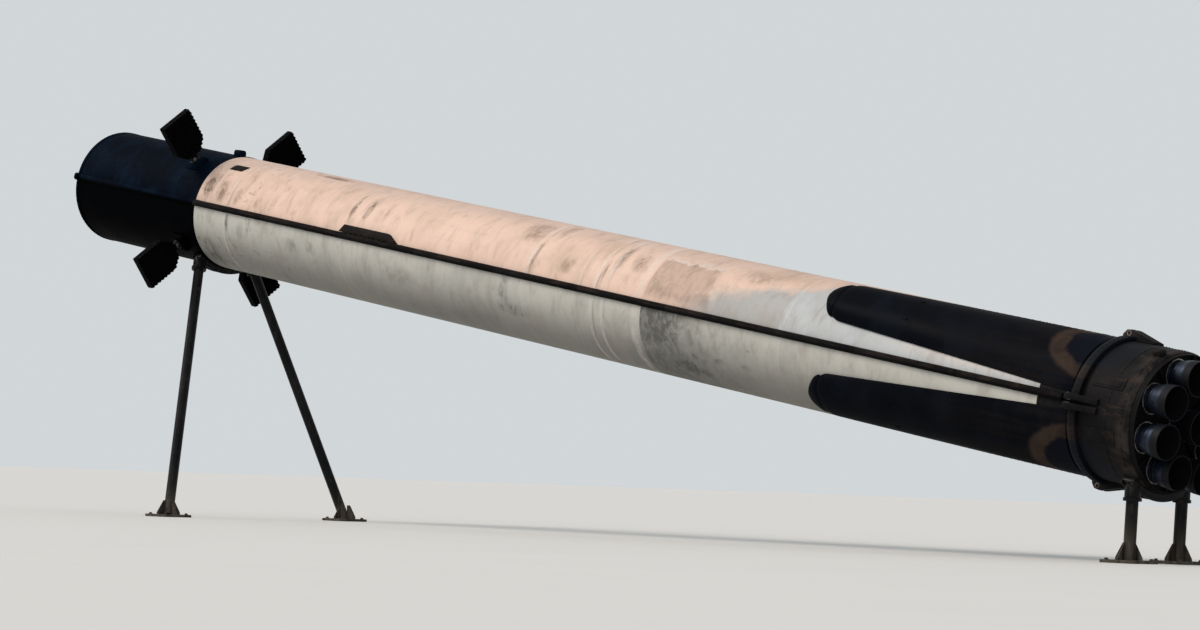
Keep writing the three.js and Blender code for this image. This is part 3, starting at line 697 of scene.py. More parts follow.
def floor_finish(colours):
    paint = Paint("studio_floor")
    clouds = paint.place.noise(0.35, 4.0, 0.5)
    fine = paint.place.noise(14.0, 3.0, 0.5)
    base = paint.coats(colours.floor, (clouds * 0.5 + fine * 0.2, colours.floor * 0.93))
    return paint.done(base, 0.62 + clouds * 0.2)


# A material slot has the name of the function that makes its finish
FINISHES = {make.__name__: make for make in (
    tank_white, interstage_black, sooty_skirt, leg_black, raceway_black, fin_black, bare_steel, nozzle_metal,
    stand_black)}
made = {}


def finish(slot):
    """The material of a slot, made once."""
    if slot not in made:
        made[slot] = FINISHES[slot](bpy.context.scene.rocket_colours)
    return made[slot]


# Sizes and colours that a user would change


def metres(name, text, value):
    return FloatProperty(name=name, description=text, default=value, unit="LENGTH")


def colour(name, text, value):
    return FloatVectorProperty(
        name=name, description=text, default=value, size=3, min=0, max=1, subtype="COLOR")


class RocketSizes(bpy.types.PropertyGroup):
    steps: IntProperty(name="Body faces", description="Faces round the body", default=160, min=48)
    bell_steps: IntProperty(name="Bell faces", description="Faces round an engine bell", default=64, min=24)
    weld_height: metres("Weld height", "How far a weld band stands proud of the skin", 0.0008)
    fin_wall: metres("Lattice wall", "Thickness of a grid fin's inner walls", 0.005)
    fin_pitch: metres("Lattice pitch", "Distance between a grid fin's walls", 0.0509)
    cover_length: metres("Cover length", "Length of one raceway cover", 1.89)


class RocketColours(bpy.types.PropertyGroup):
    # The upper paint's warm tint is painted sunlight and the lower paint is painted shade: lit and shaded copies
    # of one white paint
    paint: colour("Upper paint", "White paint where the light falls", (0.670, 0.478, 0.380))
    paint_shaded: colour("Lower paint", "White paint on the shaded side", (0.455, 0.442, 0.397))
    # The aft paint is the painted cast shadow on the upper side ahead of the legs
    aft_shadow_paint: colour("Aft paint", "Cleaner paint ahead of the legs", (0.420, 0.438, 0.442))
    soot: colour("Soot", "Brown-grey soot on the paint", (0.168, 0.112, 0.082))
    # The interstage's blue tint is a painted sky reflection on black paint
    interstage: colour("Interstage", "Blue-black coat of the interstage", (0.0007, 0.0020, 0.0052))
    skirt: colour("Skirt", "Scorched coat of the aft skirt", (0.0036, 0.0034, 0.0040))
    scorch: colour("Scorch", "Copper-brown burns on the skirt and the legs", (0.085, 0.056, 0.042))
    leg: colour("Legs", "Coat of the landing legs", (0.0026, 0.0033, 0.0052))
    fin: colour("Fins", "Coat of the grid fins", (0.0022, 0.0022, 0.0025))
    nozzle: colour("Bells", "Heat-darkened metal of the bells", (0.009, 0.013, 0.024))
    steel: colour("Steel", "Bare machined steel", (0.42, 0.39, 0.36))
    stand: colour("Stand", "Paint of the stand", (0.0042, 0.0042, 0.0048))
    floor: colour("Floor", "Studio floor", (0.60, 0.59, 0.57))


# Operators, one for each group of pieces


class ROCKET_OT_tanks(bpy.types.Operator):
    """Makes both tanks' skins with their weld bands"""
    bl_idname = "rocket.tanks"
    bl_label = "Tanks"

    def execute(self, context):
        sizes = context.scene.rocket_sizes
        weld_half = 0.020
        radius = SKIN - sizes.weld_height
        for name, start, end, barrels in (
            ("oxygen", 0.0, TANK_JOINT, 4),
            ("fuel", TANK_JOINT + SEAT, TANK_END - SEAT, 3),
        ):
            skin = banded(start, end, radius, [hoop[0] for hoop in HOOPS], weld_half, sizes.weld_height)
            piece(f"{name}_tank_skin", revolved([(start, 0)] + skin + [(end, 0)], sizes.steps), "tank_white",
                  replaces=[f"{name}_tank_barrel_{i + 1}" for i in range(barrels)])
        return {"FINISHED"}


class ROCKET_OT_interstage(bpy.types.Operator):
    """Makes the open-fronted interstage, its end rings, hoops and stringers"""
    bl_idname = "rocket.interstage"
    bl_label = "Interstage"

    def execute(self, context):
        steps = context.scene.rocket_sizes.steps
        start, end = FRONT_RING_END + SEAT, JOINT_RING_START - SEAT
        sill, web, flange = SHELL_INSIDE - 0.006, SHELL_INSIDE - 0.050, SHELL_INSIDE - 0.055
        hoop = ((0.030, SHELL_INSIDE), (0.030, sill), (0.006, sill), (0.006, web),
                (-0.020, web), (-0.020, flange), (-0.024, flange), (-0.024, SHELL_INSIDE))
        hoop_count, hoop_inset = 7, 0.25
        profile = [(start, SKIN - SEAT), (end, SKIN - SEAT), (end, SHELL_INSIDE)]
        for i in range(hoop_count):
            centre = end - hoop_inset - i * (end - start - 2 * hoop_inset) / (hoop_count - 1)
            profile += [(centre + shift, radius) for shift, radius in hoop]
        profile.append((start, SHELL_INSIDE))
        piece("interstage_skin", revolved(profile, steps, closed=True), "interstage_black",
              replaces=["interstage_shell"])
        stringers = bmesh.new()
        stringer_count = 24
        stringer = block((start + 0.02, end - 0.20), (-0.012, 0.012), (-0.024, 0.0), 0.004)
        merge(stringers, stringer, *around(0, stringer_count, SHELL_INSIDE + 0.001))
        piece("interstage_stringers", stringers, "interstage_black")
        for name, node, low, high, inside, proud in (
            ("front_rim", "front_ring", FRONT_END, FRONT_RING_END, RIM_INSIDE, 0.922),
            ("joint_rim", "joint_ring", JOINT_RING_START, -SEAT, SHELL_INSIDE, 0.924),
        ):
            part = revolved(disc(low, high, inside, proud, 0.004), steps, closed=True)
            if name == "front_rim":
                bracket = prism([(-0.060, -0.030), (-0.060, 0.045), (-0.035, 0.077), (0.035, 0.077),
                                 (0.060, 0.045), (0.060, -0.030)], low, high, 0.006)
                merge(part, bracket, on_skin(0, RACEWAY_ANGLE))
            piece(name, part, "interstage_black", replaces=[node])
        seam_angles, seam_start, seam_step, seam_count = (25, 115, 205, 295), -3.15, 0.12, 25
        seams = [on_skin(seam_start + seam_step * i, angle, SKIN - SEAT)
                 for angle in seam_angles for i in range(seam_count)]
        joint_row, front_row = around(-0.075, 120), around(-3.290, 90)
        studs = bmesh.new()
        bolts(studs, 0.008, 0.006, joint_row + front_row + seams)
        piece("interstage_bolts", studs, "interstage_black")
        return {"FINISHED"}


class ROCKET_OT_dome(bpy.types.Operator):
    """Makes the forward tank dome, with its manhole and vent pipe, seen through the interstage"""
    bl_idname = "rocket.dome"
    bl_label = "Forward dome"

    def execute(self, context):
        height, radius, count = 0.520, 0.860, 16
        top = -SEAT - height
        lid, lid_seat, lid_radius, vent = top - 0.016, top + 0.002, 0.158, (-0.42, 0.50)
        turns = [pi / 2 * i / count for i in range(1, count + 1)]
        curve = [(-SEAT - height * cos(turn), radius * sin(turn)) for turn in turns]
        part = revolved([(top, 0)] + curve + [(-SEAT, 0)], context.scene.rocket_sizes.steps // 2)
        merge(part, revolved([(lid, 0), (lid, lid_radius - 0.008), (lid + 0.006, lid_radius),
                              (lid_seat, lid_radius), (lid_seat, 0.110), (lid_seat, 0)], 64))
        bolt_count = 20
        bolts(part, 0.008, 0.008, [
            facing(i * 360 / bolt_count) @ moved(lid, 0, 0.136) @ turned(-90, "Y")
            for i in range(bolt_count)])
        merge(part, rod((top + 0.30, *vent), (top - 0.02, *vent), 0.035, 32, bevel=0.004))
        piece("forward_dome", part, "tank_white", replaces=["oxygen_tank_dome"])
        return {"FINISHED"}


class ROCKET_OT_raceway(bpy.types.Operator):
    """Makes the raceway covers along the near side, their joint straps and the junction box"""
    bl_idname = "rocket.raceway"
    bl_label = "Raceway"

    def execute(self, context):
        half = radians(RACEWAY_HALF_ANGLE) * SKIN
        main_height, rib_height, strap_height, forward_height = 0.056, 0.0575, 0.0595, 0.035
        rib_count, rib_half, strap_half, strap_inset = 4, 0.006, 0.028, 0.045

        def cover(low, high, height, width=half):
            side, top = height * 0.62, width * 0.72
            outline = [(-width, SEAT), (width, SEAT), (width, side), (top, height), (-top, height),
                       (-width, side)]
            return bent(prism(outline, low, high, 0.004), RACEWAY_ANGLE, 0.05)

        main = bmesh.new()
        straps = bmesh.new()
        bolt_turn = degrees(half * 0.5 / SKIN)
        bays = round(RACEWAY_END / context.scene.rocket_sizes.cover_length)
        for i in range(bays):
            low, high = RACEWAY_END * i / bays, RACEWAY_END * (i + 1) / bays
            merge(main, cover(low, high - 0.004, main_height))
            for k in range(rib_count):
                rib = low + (high - low) * (k + 1) / (rib_count + 1)
                merge(main, cover(rib - rib_half, rib + rib_half, rib_height, half * 0.98))
            strap = high - 0.002 if i + 1 < bays else high - strap_inset
            merge(straps, cover(strap - strap_half, strap + strap_half, strap_height))
            bolts(straps, 0.006, 0.004, [
                on_skin(strap + shift, RACEWAY_ANGLE + turn, SKIN + strap_height - 0.0005)
                for turn in (-bolt_turn, bolt_turn) for shift in (-0.015, 0.015)])
        piece("raceway_covers", main, "raceway_black", replaces=["raceway_main"])
        piece("raceway_straps", straps, "raceway_black")
        forward = cover(FRONT_RING_END + SEAT, JOINT_RING_START - SEAT, forward_height)
        ramp = prism([(-0.30, SEAT), (-0.05, forward_height), (-0.04, forward_height), (-0.04, SEAT)],
                     -half, half, 0.004, axis="Y")
        merge(forward, bent(ramp, RACEWAY_ANGLE, 0.05))
        piece("raceway_forward_cover", forward, "interstage_black", replaces=["raceway_forward"])
        wide = radians(BOX_HALF_ANGLE) * SKIN
        plan = [(BOX_START, -wide + 0.003), (BOX_START + 0.09, wide - 0.001), (BOX_END - 0.22, wide - 0.001),
                (BOX_END, -wide + 0.003)]
        box = bent(prism(plan, SEAT, 0.065, 0.005, axis="Z"), BOX_ANGLE)
        for seam in (4.26, 4.72):
            rib = block((seam - 0.012, seam + 0.012), (-wide + 0.006, wide - 0.004), (0.05, 0.0665), 0.001)
            merge(box, bent(rib, BOX_ANGLE))
        piece("raceway_box", box, "raceway_black", replaces=["raceway_junction_box"])
        return {"FINISHED"}


def leg_section(station, t):
    """Angle in degrees from the leg's middle and height over the skin, at a share of its half width."""
    share = min(max((station - LEG_TIP) / (LEG_END - LEG_TIP), 0), 1)
    nose = min((station - LEG_TIP) / LEG_NOSE, 1)
    roundness = sqrt(max(1 - (1 - nose) ** 2, 0))
    half, crown, edge, power = [at_tip + change * share for at_tip, change in LEG_TAPER]
    half *= max(roundness, 0.06)
    crown *= 0.50 + 0.50 * roundness
    edge *= 0.40 + 0.60 * roundness
    return half * t, edge + (crown - edge) * (1 - abs(t) ** power)


def tip_swell(station):
    """How much wider than the leg its tip cover is, down to a groove where they meet."""
    return 1.06 - 0.10 * max((station - LEG_SPLIT + 0.05) / 0.05, 0)


def shell_swell(station):
    return 1 - 0.07 * max(1 - (station - LEG_SPLIT) / 0.10, 0) ** 2


def leg_shell(low, high, rows, swell):
    """A crowned shell between two stations of a leg, closed down to the skin, wider where swell says."""
    part = bmesh.new()
    bmesh.ops.create_grid(part, x_segments=rows, y_segments=28, size=1)
    crowding = 1.8 if low < LEG_SPLIT else 1.4
    for vert in part.verts:
        station = low + (high - low) * ((vert.co.x + 1) / 2) ** crowding
        turn, height = leg_section(station, vert.co.y)
        grown = swell(station)
        vert.co = Vector((station, radians(turn) * SKIN * grown, height * (0.4 + 0.6 * grown)))
    down = bmesh.ops.extrude_edge_only(part, edges=[edge for edge in part.edges if edge.is_boundary])["geom"]
    for vert in [g for g in down if isinstance(g, bmesh.types.BMVert)]:
        vert.co.z = SEAT
    bmesh.ops.holes_fill(part, edges=[edge for edge in part.edges if edge.is_boundary])
    bmesh.ops.remove_doubles(part, verts=part.verts, dist=1e-5)
    bmesh.ops.recalc_face_normals(part, faces=part.faces)
    return part


class ROCKET_OT_legs(bpy.types.Operator):
    """Makes the four folded landing legs with their tip covers and fasteners"""
    bl_idname = "rocket.legs"
    bl_label = "Landing legs"

    def execute(self, context):
        screw_count, screw_pitch, screw_share = 36, 0.12, 0.93
        latch_station, latch_half = 15.85, 0.04
        latch_turn, latch_height = leg_section(latch_station, 0.4)
        for i, angle in enumerate(LEG_ANGLES, 1):
            tip = bent(leg_shell(LEG_TIP, LEG_SPLIT - 0.001, 16, tip_swell), angle, UNCUT)
            piece(f"leg_tip_cover_{i}", tip, "leg_black", replaces=[f"leg_tip_{i}"])
            shell = bent(leg_shell(LEG_SPLIT + 0.003, LEG_END, 60, shell_swell), angle, UNCUT)
            piece(f"leg_fairing_{i}", shell, "leg_black", replaces=[f"leg_shell_{i}"])
            places = []
            for k in range(screw_count):
                station = LEG_SPLIT + screw_pitch * (k + 1)
                for t in (-screw_share, screw_share):
                    turn, height = leg_section(station, t)
                    places.append(on_skin(station, angle + turn, SKIN + height - 0.001))
            trim = bmesh.new()
            bolts(trim, 0.006, 0.004, places)
            latch = block((latch_station - latch_half, latch_station + latch_half), (-0.014, 0.014),
                          (-0.006, 0.008), 0.003)
            merge(trim, latch, *[
                on_skin(0, angle + turn, SKIN + latch_height) for turn in (-latch_turn, latch_turn)])
            piece(f"leg_fasteners_{i}", trim, "leg_black")
        return {"FINISHED"}


class ROCKET_OT_skirt(bpy.types.Operator):
    """Makes the aft skirt with its hoops, bosses and panels, and the base under the engines"""
    bl_idname = "rocket.skirt"
    bl_label = "Aft skirt"

    def execute(self, context):
        steps = context.scene.rocket_sizes.steps
        hoops, hoop_half, hoop_height = (18.56, 19.62, 19.88), 0.022, 0.0016
        skin = banded(TANK_END, SKIRT_END - 0.030, SKIN - hoop_height, hoops, hoop_half, hoop_height)
        profile = [(TANK_END, 0)] + skin + [(SKIRT_END, SKIN - 0.020), (SKIRT_END, 0)]
        piece("skirt_skin", revolved(profile, steps), "sooty_skirt", replaces=["aft_skirt"])
        low, high = SKIRT_END + SEAT, BELL_START - SEAT
        web_count = 8
        plate = revolved(disc(low, high, 0, 0.890, 0.006), steps)
        web = block((high - 0.002, high + 0.045), (-0.010, 0.010), (0.215, 0.872), 0.004)
        merge(plate, web, *[facing(k * 360 / web_count) for k in range(web_count)])
        merge(plate, revolved([(high - 0.002, 0.874), (high - 0.002, 0.888), (high + 0.040, 0.885),
                               (high + 0.040, 0.874)], steps, closed=True))
        piece("engine_base", plate, "sooty_skirt", replaces=["engine_base_plate"])
        bolt_count, boss_angles, panel_angles = 96, (61, 119, -61, -119), (22, 158, -22, -158)
        trim = bmesh.new()
        for hoop in hoops:
            bolts(trim, 0.008, 0.007, around(hoop, bolt_count, SKIN - 0.001))
        for angle in boss_angles:
            merge(trim, bent(block((19.80, 19.965), (-0.055, 0.055), (-0.004, 0.075), 0.022), angle))
            cap = rod((0, 0, 0), (0, 0, 0.020), 0.022, 24, bevel=0.003)
            merge(trim, cap, on_skin(19.84, angle, SKIN + 0.066))
        for angle in panel_angles:
            merge(trim, bent(block((19.28, 19.78), (-0.090, 0.090), (-0.004, 0.010), 0.004), angle))
            merge(trim, bent(block((19.33, 19.73), (-0.062, 0.062), (0.008, 0.016), 0.003), angle))
        piece("skirt_trim", trim, "sooty_skirt")
        return {"FINISHED"}


class ROCKET_OT_engines(bpy.types.Operator):
    """Makes the nine engine bells with their hoops, throats, flanges and rings"""
    bl_idname = "rocket.engines"
    bl_label = "Engines"

    def execute(self, context):
        steps = context.scene.rocket_sizes.bell_steps
        neck, exit_radius, wall, count = 0.165, 0.2285, 0.007, 24
        hoop_rows, hoop_height = (4, 9), 0.004
        outer_bells, nut_count = 8, 18
        start = BELL_START + 0.060
        outer = []
        inner = []
        for i in range(count + 1):
            station = start + (BELL_EXIT - start) * i / count
            radius = neck + (exit_radius - neck) * sin(i / count * pi / 2) ** 0.7
            if i in hoop_rows:
                outer += [(station - 0.006, radius), (station - 0.005, radius + hoop_height),
                          (station + 0.005, radius + hoop_height), (station + 0.006, radius)]
            else:
                outer.append((station, radius))
            inner.append((station, radius - wall))
        edge = BELL_START + 0.018
        flange = [(BELL_START, 0), (BELL_START, 0.202), (BELL_START + 0.003, 0.205), (edge - 0.003, 0.205),
                  (edge, 0.202), (edge, 0.172), (BELL_START + 0.045, 0.163)]
        throat = [(start - 0.020, 0.105), (start - 0.040, 0.080), (start - 0.050, 0.084), (start - 0.056, 0)]
        lining = [(station, radius - 0.0005) for station, radius in inner]
        lining += [(station, radius - 0.0030) for station, radius in inner[::-1]]
        ring = [(edge, 0.190), (edge, 0.2045), (edge + 0.006, 0.2045), (edge + 0.006, 0.190)]
        places = [Matrix()]
        for k in range(outer_bells):
            turn = (k + 0.5) / outer_bells * tau
            places.append(moved(0, -ENGINE_RING * cos(turn), ENGINE_RING * sin(turn)))
        for i, place in enumerate(places, 1):
            bell = revolved(flange + outer + inner[::-1] + throat, steps)
            piece(f"bell_{i}", bell, "nozzle_metal", place=BODY @ place, replaces=[f"engine_bell_{i}"])
        for name, profile, slot in (
            ("engine_liners", lining, "sooty_skirt"),
            ("engine_rings", ring, "bare_steel"),
        ):
            part = bmesh.new()
            merge(part, revolved(profile, steps, closed=True), *places)
            piece(name, part, slot)
        nuts = bmesh.new()
        bolts(nuts, 0.006, 0.006, [
            place @ facing(k * 360 / nut_count) @ moved(edge, 0, 0.181) @ turned(90, "Y")
            for place in places for k in range(nut_count)])
        piece("engine_nuts", nuts, "sooty_skirt")
        return {"FINISHED"}


def toothed_wall(start, end, thickness, pitch, phase, tooth=0.034):
    """A wall of the lattice between two points, its aft edge cut to teeth."""
    fore, aft = -0.055, 0.055
    length = (end - start).length
    outline = [(fore, 0), (aft, 0)]
    k = ceil(-phase / (pitch / 2) + 1e-6)
    while phase + k * pitch / 2 < length - 1e-4:
        outline.append((aft + (tooth if k % 2 == 0 else 0), phase + k * pitch / 2))
        k += 1
    outline += [(aft, length), (fore, length)]
    along = Vector((0, *(end - start) / length))
    normal = Vector((1, 0, 0)).cross(along)
    place = Matrix((Vector((1, 0, 0)), along, normal)).transposed().to_4x4()
    place.translation = Vector((0, *start)) - normal * thickness / 2
    part = prism(outline, 0, thickness, axis="Z")
    part.transform(place)
    return part


def clipped(offset, along, normal, corners):
    """The stretch of a slanting line that lies inside a convex outline."""
    origin = normal * offset
    low, high = -10.0, 10.0
    for a, b in zip(corners, corners[1:] + corners[:1]):
        inward = Vector((a.y - b.y, b.x - a.x))
        speed, gap = inward.dot(along), inward.dot(origin - a)
        if abs(speed) < 1e-9:
            if gap < 0:
                return None
        elif speed > 0:
            low = max(low, -gap / speed)
        else:
            high = min(high, -gap / speed)
    return (origin + along * low, origin + along * high, low) if high - low > 0.012 else None


def fold_pin(low, high, radius, segments=40):
    """A round bar along a fin's fold axis."""
    return rod((0, low, FOLD_RADIUS), (0, high, FOLD_RADIUS), radius, segments, bevel=0.002)


def grid_panel(sizes):
    """A grid fin's panel: frame, lattice, root beam and hinge tongue, in the fin's own place."""
    root, shoulder, tip, half, root_half = 1.096, 1.265, 1.7998, 0.290, 0.140
    outline = ((-root_half, root), (root_half, root), (half, shoulder), (half, tip), (-half, tip),
               (-half, shoulder))
    corners = [Vector(corner) for corner in outline]
    part = bmesh.new()
    frame_wall, frame_phase, frame_tooth, most_walls = 0.014, 0.036, 0.036, 12
    middle = Vector((0, 1.448))
    inset = [corner * 0.985 + middle * 0.015 for corner in corners]
    for lean in (pi / 4, -pi / 4):
        along = Vector((cos(lean), sin(lean)))
        normal = Vector((-along.y, along.x))
        for k in range(-most_walls, most_walls + 1):
            found = clipped(middle.dot(normal) + k * sizes.fin_pitch, along, normal, inset)
            if found:
                start, end, low = found
                phase = (middle.dot(along) - low) % sizes.fin_pitch
                merge(part, toothed_wall(start, end, sizes.fin_wall, sizes.fin_pitch, phase))
    for a, b in zip(corners, corners[1:] + corners[:1]):
        inward = Vector((a.y - b.y, b.x - a.x)).normalized() * frame_wall / 2
        merge(part, toothed_wall(a + inward, b + inward, frame_wall, sizes.fin_pitch * sqrt(2), frame_phase,
                                 frame_tooth))
    knuckle = 0.038
    merge(part, prism([(-0.026, FOLD_RADIUS), (0.026, FOLD_RADIUS), (0.045, 1.108), (-0.045, 1.108)],
                      -knuckle, knuckle, axis="Y"))
    merge(part, fold_pin(-knuckle, knuckle, 0.026))
    merge(part, block((-0.045, 0.045), (-0.115, 0.115), (1.098, 1.122), 0.004))
    return part


def fin_hub():
    """The hub that steers the fin: flange, lugs and fold pin."""
    flange_top, lug_middle, lug_half, pin_half = HOUSING_TOP + 0.009, 0.054, 0.010, 0.069
    part = rod((0, 0, SKIN + 0.006), (0, 0, HOUSING_TOP + 0.002), 0.060, 48)
    merge(part, rod((0, 0, HOUSING_TOP + SEAT), (0, 0, flange_top), 0.084, 64, bevel=0.002))
    for side in (-1, 1):
        low, high = side * lug_middle - lug_half, side * lug_middle + lug_half
        merge(part, block((-0.030, 0.030), (low, high), (HOUSING_TOP + 0.006, FOLD_RADIUS)))
        merge(part, fold_pin(low, high, 0.030))
    merge(part, fold_pin(-pin_half, pin_half, 0.016, 32))
    # A ring of twelve bolts, without those that would stand under the lugs
    bolts(part, 0.006, 0.005, [
        turned(30 * k + 15, "Z") @ moved(0.074, 0, flange_top) for k in range(12) if k % 6 not in (2, 3)])
    return part


def fin_housing():
    """The fairing on the body that holds the hub's bearing."""
    foot, sill, top_half = radians(9.4) * SKIN, SKIN + 0.018, 0.112
    part = prism([(-foot, SKIN - 0.004), (foot, SKIN - 0.004), (foot, sill), (top_half, HOUSING_TOP),
                  (-top_half, HOUSING_TOP), (-foot, sill)], -0.150, 0.150, 0.006)
    bolts(part, 0.007, 0.005, [
        moved(x, y, HOUSING_TOP) for x in (-0.13, 0.13) for y in (-0.09, -0.03, 0.03, 0.09)])
    return part


class ROCKET_OT_fins(bpy.types.Operator):
    """Makes the four grid fins, each with its panel, hub and housing"""
    bl_idname = "rocket.fins"
    bl_label = "Grid fins"

    def execute(self, context):
        for i, angle in enumerate(LEG_ANGLES, 1):
            place = BODY @ facing(angle) @ moved(FIN_STATION)
            panel = grid_panel(context.scene.rocket_sizes)
            piece(f"fin_panel_{i}", panel, "fin_black", f"fin_panel_body_{i}", place, [f"grid_fin_{i}"])
            piece(f"fin_yoke_{i}", fin_hub(), "bare_steel", f"fin_hub_body_{i}", place, [f"fin_hub_{i}"])
            piece(f"fin_fairing_{i}", fin_housing(), "interstage_black", "stage", place, [f"fin_housing_{i}"])
        return {"FINISHED"}


class ROCKET_OT_fittings(bpy.types.Operator):
    """Makes the thruster pod and the access port"""
    bl_idname = "rocket.fittings"
    bl_label = "Fittings"

    def execute(self, context):
        top, shoulder, wide, narrow = 0.094, 0.060, 0.072, 0.052
        pod = prism([(-wide, -0.004), (wide, -0.004), (wide, shoulder), (narrow, top), (-narrow, top),
                     (-wide, shoulder)], -0.230, -0.080, 0.006)
        merge(pod, block((-0.175, -0.135), (-0.030, 0.030), (top - 0.004, top + 0.0005)))
        for x in (-0.195, -0.115):
            for side in (-1, 1):
                merge(pod, rod((x, side * 0.060, 0.030), (x, side * 0.0715, 0.034), 0.010, 24, 0.018))
        piece("pod_cover", pod, "interstage_black", place=BODY @ facing(POD_ANGLE) @ moved(0, 0, SKIN),
              replaces=["thruster_pod"])
        slab = prism([(0.335, -0.070), (0.355, 0.055), (0.405, 0.075), (0.715, 0.075), (0.720, 0.040),
                      (0.665, -0.070)], 0.0, 0.0035, 0.0015, axis="Z")
        piece("access_port", bent(slab, PORT_ANGLE), "raceway_black")
        return {"FINISHED"}


class ROCKET_OT_roots(bpy.types.Operator):
    """Makes the legs' root beams with their gussets, and the hinge pins with their rings"""
    bl_idname = "rocket.roots"
    bl_label = "Leg roots"

    def execute(self, context):
        sweep, foot = radians(42) * SKIN, radians(2.7) * SKIN
        beam_height, gusset_half, eye_half, ring_half = 0.054, 0.0395, 0.0415, 0.0430
        gusset = [(GUSSET_START + run, SKIN + height) for run, height in GUSSET_PROFILE]
        eye = moved(PIN_STATION, 0, SKIN + 0.084)
        pins = bmesh.new()
        for i, angle in enumerate(LEG_ANGLES, 1):
            root = bent(block((ROOT_START, ROOT_END), (-sweep, sweep), (SEAT, beam_height), 0.008), 0, 0.05)
            bolts(root, 0.008, 0.006, [
                on_skin(ROOT_START + 0.065, turn * 4.6, SKIN + beam_height) for turn in range(-8, 9)])
            for turn in (-GUSSET_ANGLE, GUSSET_ANGLE):
                merge(root, prism(gusset, -gusset_half, gusset_half, 0.006, axis="Y"), facing(turn))
                shoe = block((GUSSET_START, GUSSET_END), (-foot, foot), (SEAT, 0.0215), 0.004)
                merge(root, bent(shoe, turn, 0.02))
                boss = rod((0, 0, -eye_half), (0, 0, eye_half), 0.044, 40, bevel=0.002)
                merge(root, boss, facing(turn) @ eye @ turned(90, "X"))
                ring = revolved([(-ring_half, 0.026), (-ring_half, 0.036), (ring_half, 0.036),
                                 (ring_half, 0.026)], 48, closed=True)
                merge(pins, ring, facing(angle + turn) @ eye @ turned(90, "Z"))
            piece(f"root_beam_{i}", root, "sooty_skirt", place=BODY @ facing(angle) @ facing(0).inverted(),
                  replaces=[f"leg_root_{i}"])
        piece("leg_pin_rings", pins, "bare_steel")
        return {"FINISHED"}


class ROCKET_OT_stand(bpy.types.Operator):
    """Makes the saddles, the raked columns and their foot plates"""
    bl_idname = "rocket.stand"
    bl_label = "Stand"

    def execute(self, context):
        half, sunk, anchor = FOOT_SIZE / 2, 0.036, 0.2
        web = [(0.06, FOOT_THICKNESS - 0.001), (0.22, FOOT_THICKNESS - 0.001), (0.22, 0.07), (0.10, 0.26),
               (0.06, 0.26)]
        for name, station, length, top, foot in PROPS:
            low, high = station - length / 2, station + length / 2
            saddle = bent(block((low, high), (-0.606, 0.606), (SEAT, SADDLE_RADIUS - SKIN), 0.006), -90)
            for edge in (low + 0.014, high - 0.014):
                flange = block((edge - 0.008, edge + 0.008), (-0.60, 0.60), (0.06, 0.105), 0.002)
                merge(saddle, bent(flange, -90))
            bmesh.ops.transform(saddle, matrix=LEAN, verts=saddle.verts)
            drop = (LEAN @ Vector((foot[0], 0, 0))).z
            for side, label in ((-1, "near"), (1, "far")):
                start = LEAN @ Vector((top[0], side * top[1], top[2]))
                x, y, _ = LEAN @ Vector((foot[0], side * foot[1], -drop / LEAN[2][2]))
                along = (Vector((x, y, sunk)) - start).normalized()
                collar_end = start + along * COLLAR_LENGTH
                rim_start, column_start = collar_end - along * COLLAR_RIM, collar_end + along * SEAT
                merge(saddle, rod(start, collar_end, COLUMN_RADIUS + 0.025, 48, bevel=0.004))
                merge(saddle, rod(rim_start, collar_end, COLUMN_RADIUS + 0.040, 48, bevel=0.003))
                column = rod(column_start, (x, y, sunk), COLUMN_RADIUS, 48)
                merge(column, rod(column_start, collar_end + along * COLLAR_RIM, COLUMN_RADIUS + 0.040, 48,
                                  bevel=0.003))
                merge(column, block((x - half, x + half), (y - half, y + half), (0, FOOT_THICKNESS), 0.004))
                merge(column, prism(web, -0.008, 0.008, axis="Y"), *[
                    moved(x, y) @ turned(90 * k, "Z") for k in range(4)])
                bolts(column, 0.022, 0.024, [
                    moved(x + a, y + b, FOOT_THICKNESS)
                    for a in (-anchor, anchor) for b in (-anchor, anchor)])
                piece(f"{name}_prop_{label}", column, "stand_black", place=Matrix(),
                      replaces=[f"{name}_column_{label}"])
            piece(f"{name}_cradle", saddle, "stand_black", place=Matrix(), replaces=[f"{name}_saddle"])
        return {"FINISHED"}


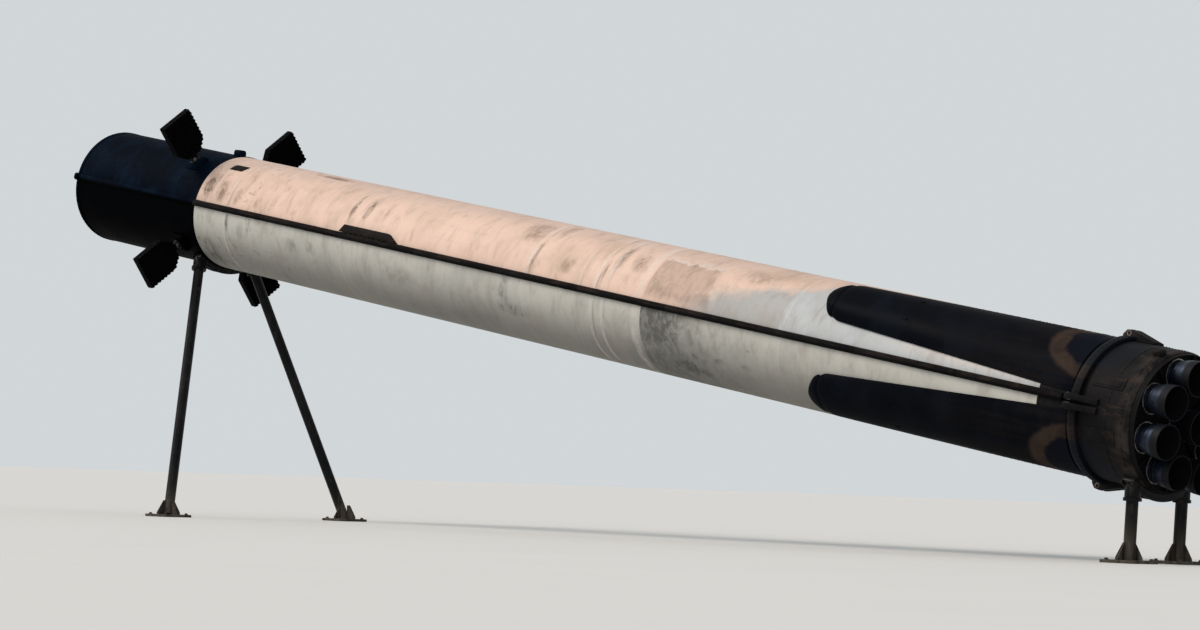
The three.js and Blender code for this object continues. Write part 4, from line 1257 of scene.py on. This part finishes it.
class ROCKET_OT_stage(bpy.types.Operator):
    """Makes the floor, the lights and the camera"""
    bl_idname = "rocket.stage"
    bl_label = "Floor, lights and camera"

    def execute(self, context):
        scene = context.scene
        floor = bmesh.new()
        bmesh.ops.create_grid(floor, x_segments=1, y_segments=1, size=400)
        mesh = bpy.data.meshes.new("studio_floor")
        floor.to_mesh(mesh)
        floor.free()
        mesh.materials.append(floor_finish(scene.rocket_colours))
        ground = bpy.data.objects.new("studio_floor", mesh)
        scene.collection.objects.link(ground)
        for name, direction, energy, angle, tint in (
            ("key", (-0.55, -0.48, 0.68), 2.1, 24, (1.0, 0.90, 0.82)),
            ("fill", (0.45, -0.85, 0.30), 0.6, 70, (0.90, 0.95, 1.0)),
        ):
            lamp = bpy.data.lights.new(name, "SUN")
            lamp.energy = energy
            lamp.angle = radians(angle)
            lamp.color = tint
            light = bpy.data.objects.new(name, lamp)
            light.rotation_euler = Vector(direction).to_track_quat("Z", "Y").to_euler()
            scene.collection.objects.link(light)
        world = bpy.data.worlds.new("studio")
        world.use_nodes = True
        background = world.node_tree.nodes["Background"]
        background.inputs["Color"].default_value = (0.80, 0.84, 0.86, 1)
        background.inputs["Strength"].default_value = 0.80
        scene.world = world
        scene.view_settings.view_transform = "Standard"
        right = CAMERA_HEADING.cross(Vector((0, 0, 1))).normalized()
        ahead = Matrix.Rotation(CAMERA_PITCH, 3, right) @ CAMERA_HEADING.normalized()
        roll = Matrix.Rotation(-CAMERA_ROLL, 3, ahead)
        axes = Matrix((roll @ right, roll @ right.cross(ahead), -ahead)).transposed().to_4x4()
        data = bpy.data.cameras.new("photo_camera")
        data.lens = CAMERA_LENS
        data.sensor_width = 36
        data.clip_end = 2000
        camera = bpy.data.objects.new("photo_camera", data)
        camera.matrix_world = moved(BODY.translation.x + CAMERA_AHEAD, CAMERA_NEAR, EYE_HEIGHT) @ axes
        scene.collection.objects.link(camera)
        scene.camera = camera
        return {"FINISHED"}


OPERATORS = (
    ROCKET_OT_stage, ROCKET_OT_tanks, ROCKET_OT_interstage, ROCKET_OT_dome, ROCKET_OT_raceway, ROCKET_OT_legs,
    ROCKET_OT_roots, ROCKET_OT_skirt, ROCKET_OT_engines, ROCKET_OT_fins, ROCKET_OT_fittings, ROCKET_OT_stand,
)


class ROCKET_PT_panel(bpy.types.Panel):
    bl_label = "Rocket stage"
    bl_idname = "ROCKET_PT_panel"
    bl_space_type = "VIEW_3D"
    bl_region_type = "UI"
    bl_category = "Rocket stage"

    def draw(self, context):
        layout = self.layout
        for group in (context.scene.rocket_sizes, context.scene.rocket_colours):
            for name in group.__annotations__:
                layout.prop(group, name)
        for operator in OPERATORS:
            layout.operator(operator.bl_idname)


CLASSES = (RocketSizes, RocketColours, *OPERATORS, ROCKET_PT_panel)


def register():
    for cls in CLASSES:
        bpy.utils.register_class(cls)
    bpy.types.Scene.rocket_sizes = PointerProperty(type=RocketSizes)
    bpy.types.Scene.rocket_colours = PointerProperty(type=RocketColours)


def unregister():
    del bpy.types.Scene.rocket_sizes
    del bpy.types.Scene.rocket_colours
    for cls in reversed(CLASSES):
        bpy.utils.unregister_class(cls)


def dress_nodes():
    """Gives the CAD nodes that stay in view their finishes."""
    slots = {part["node"]: part["material_slot"] for part in frame["record"]["subparts"]}
    for name, node in frame["nodes"].items():
        if not node.hide_render:
            node.data.materials.clear()
            node.data.materials.append(finish(slots[name]))


def main():
    register()
    for operator in OPERATORS:
        category, name = operator.bl_idname.split(".")
        getattr(getattr(bpy.ops, category), name)()
    dress_nodes()
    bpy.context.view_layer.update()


if __name__ == "__main__":
    main()
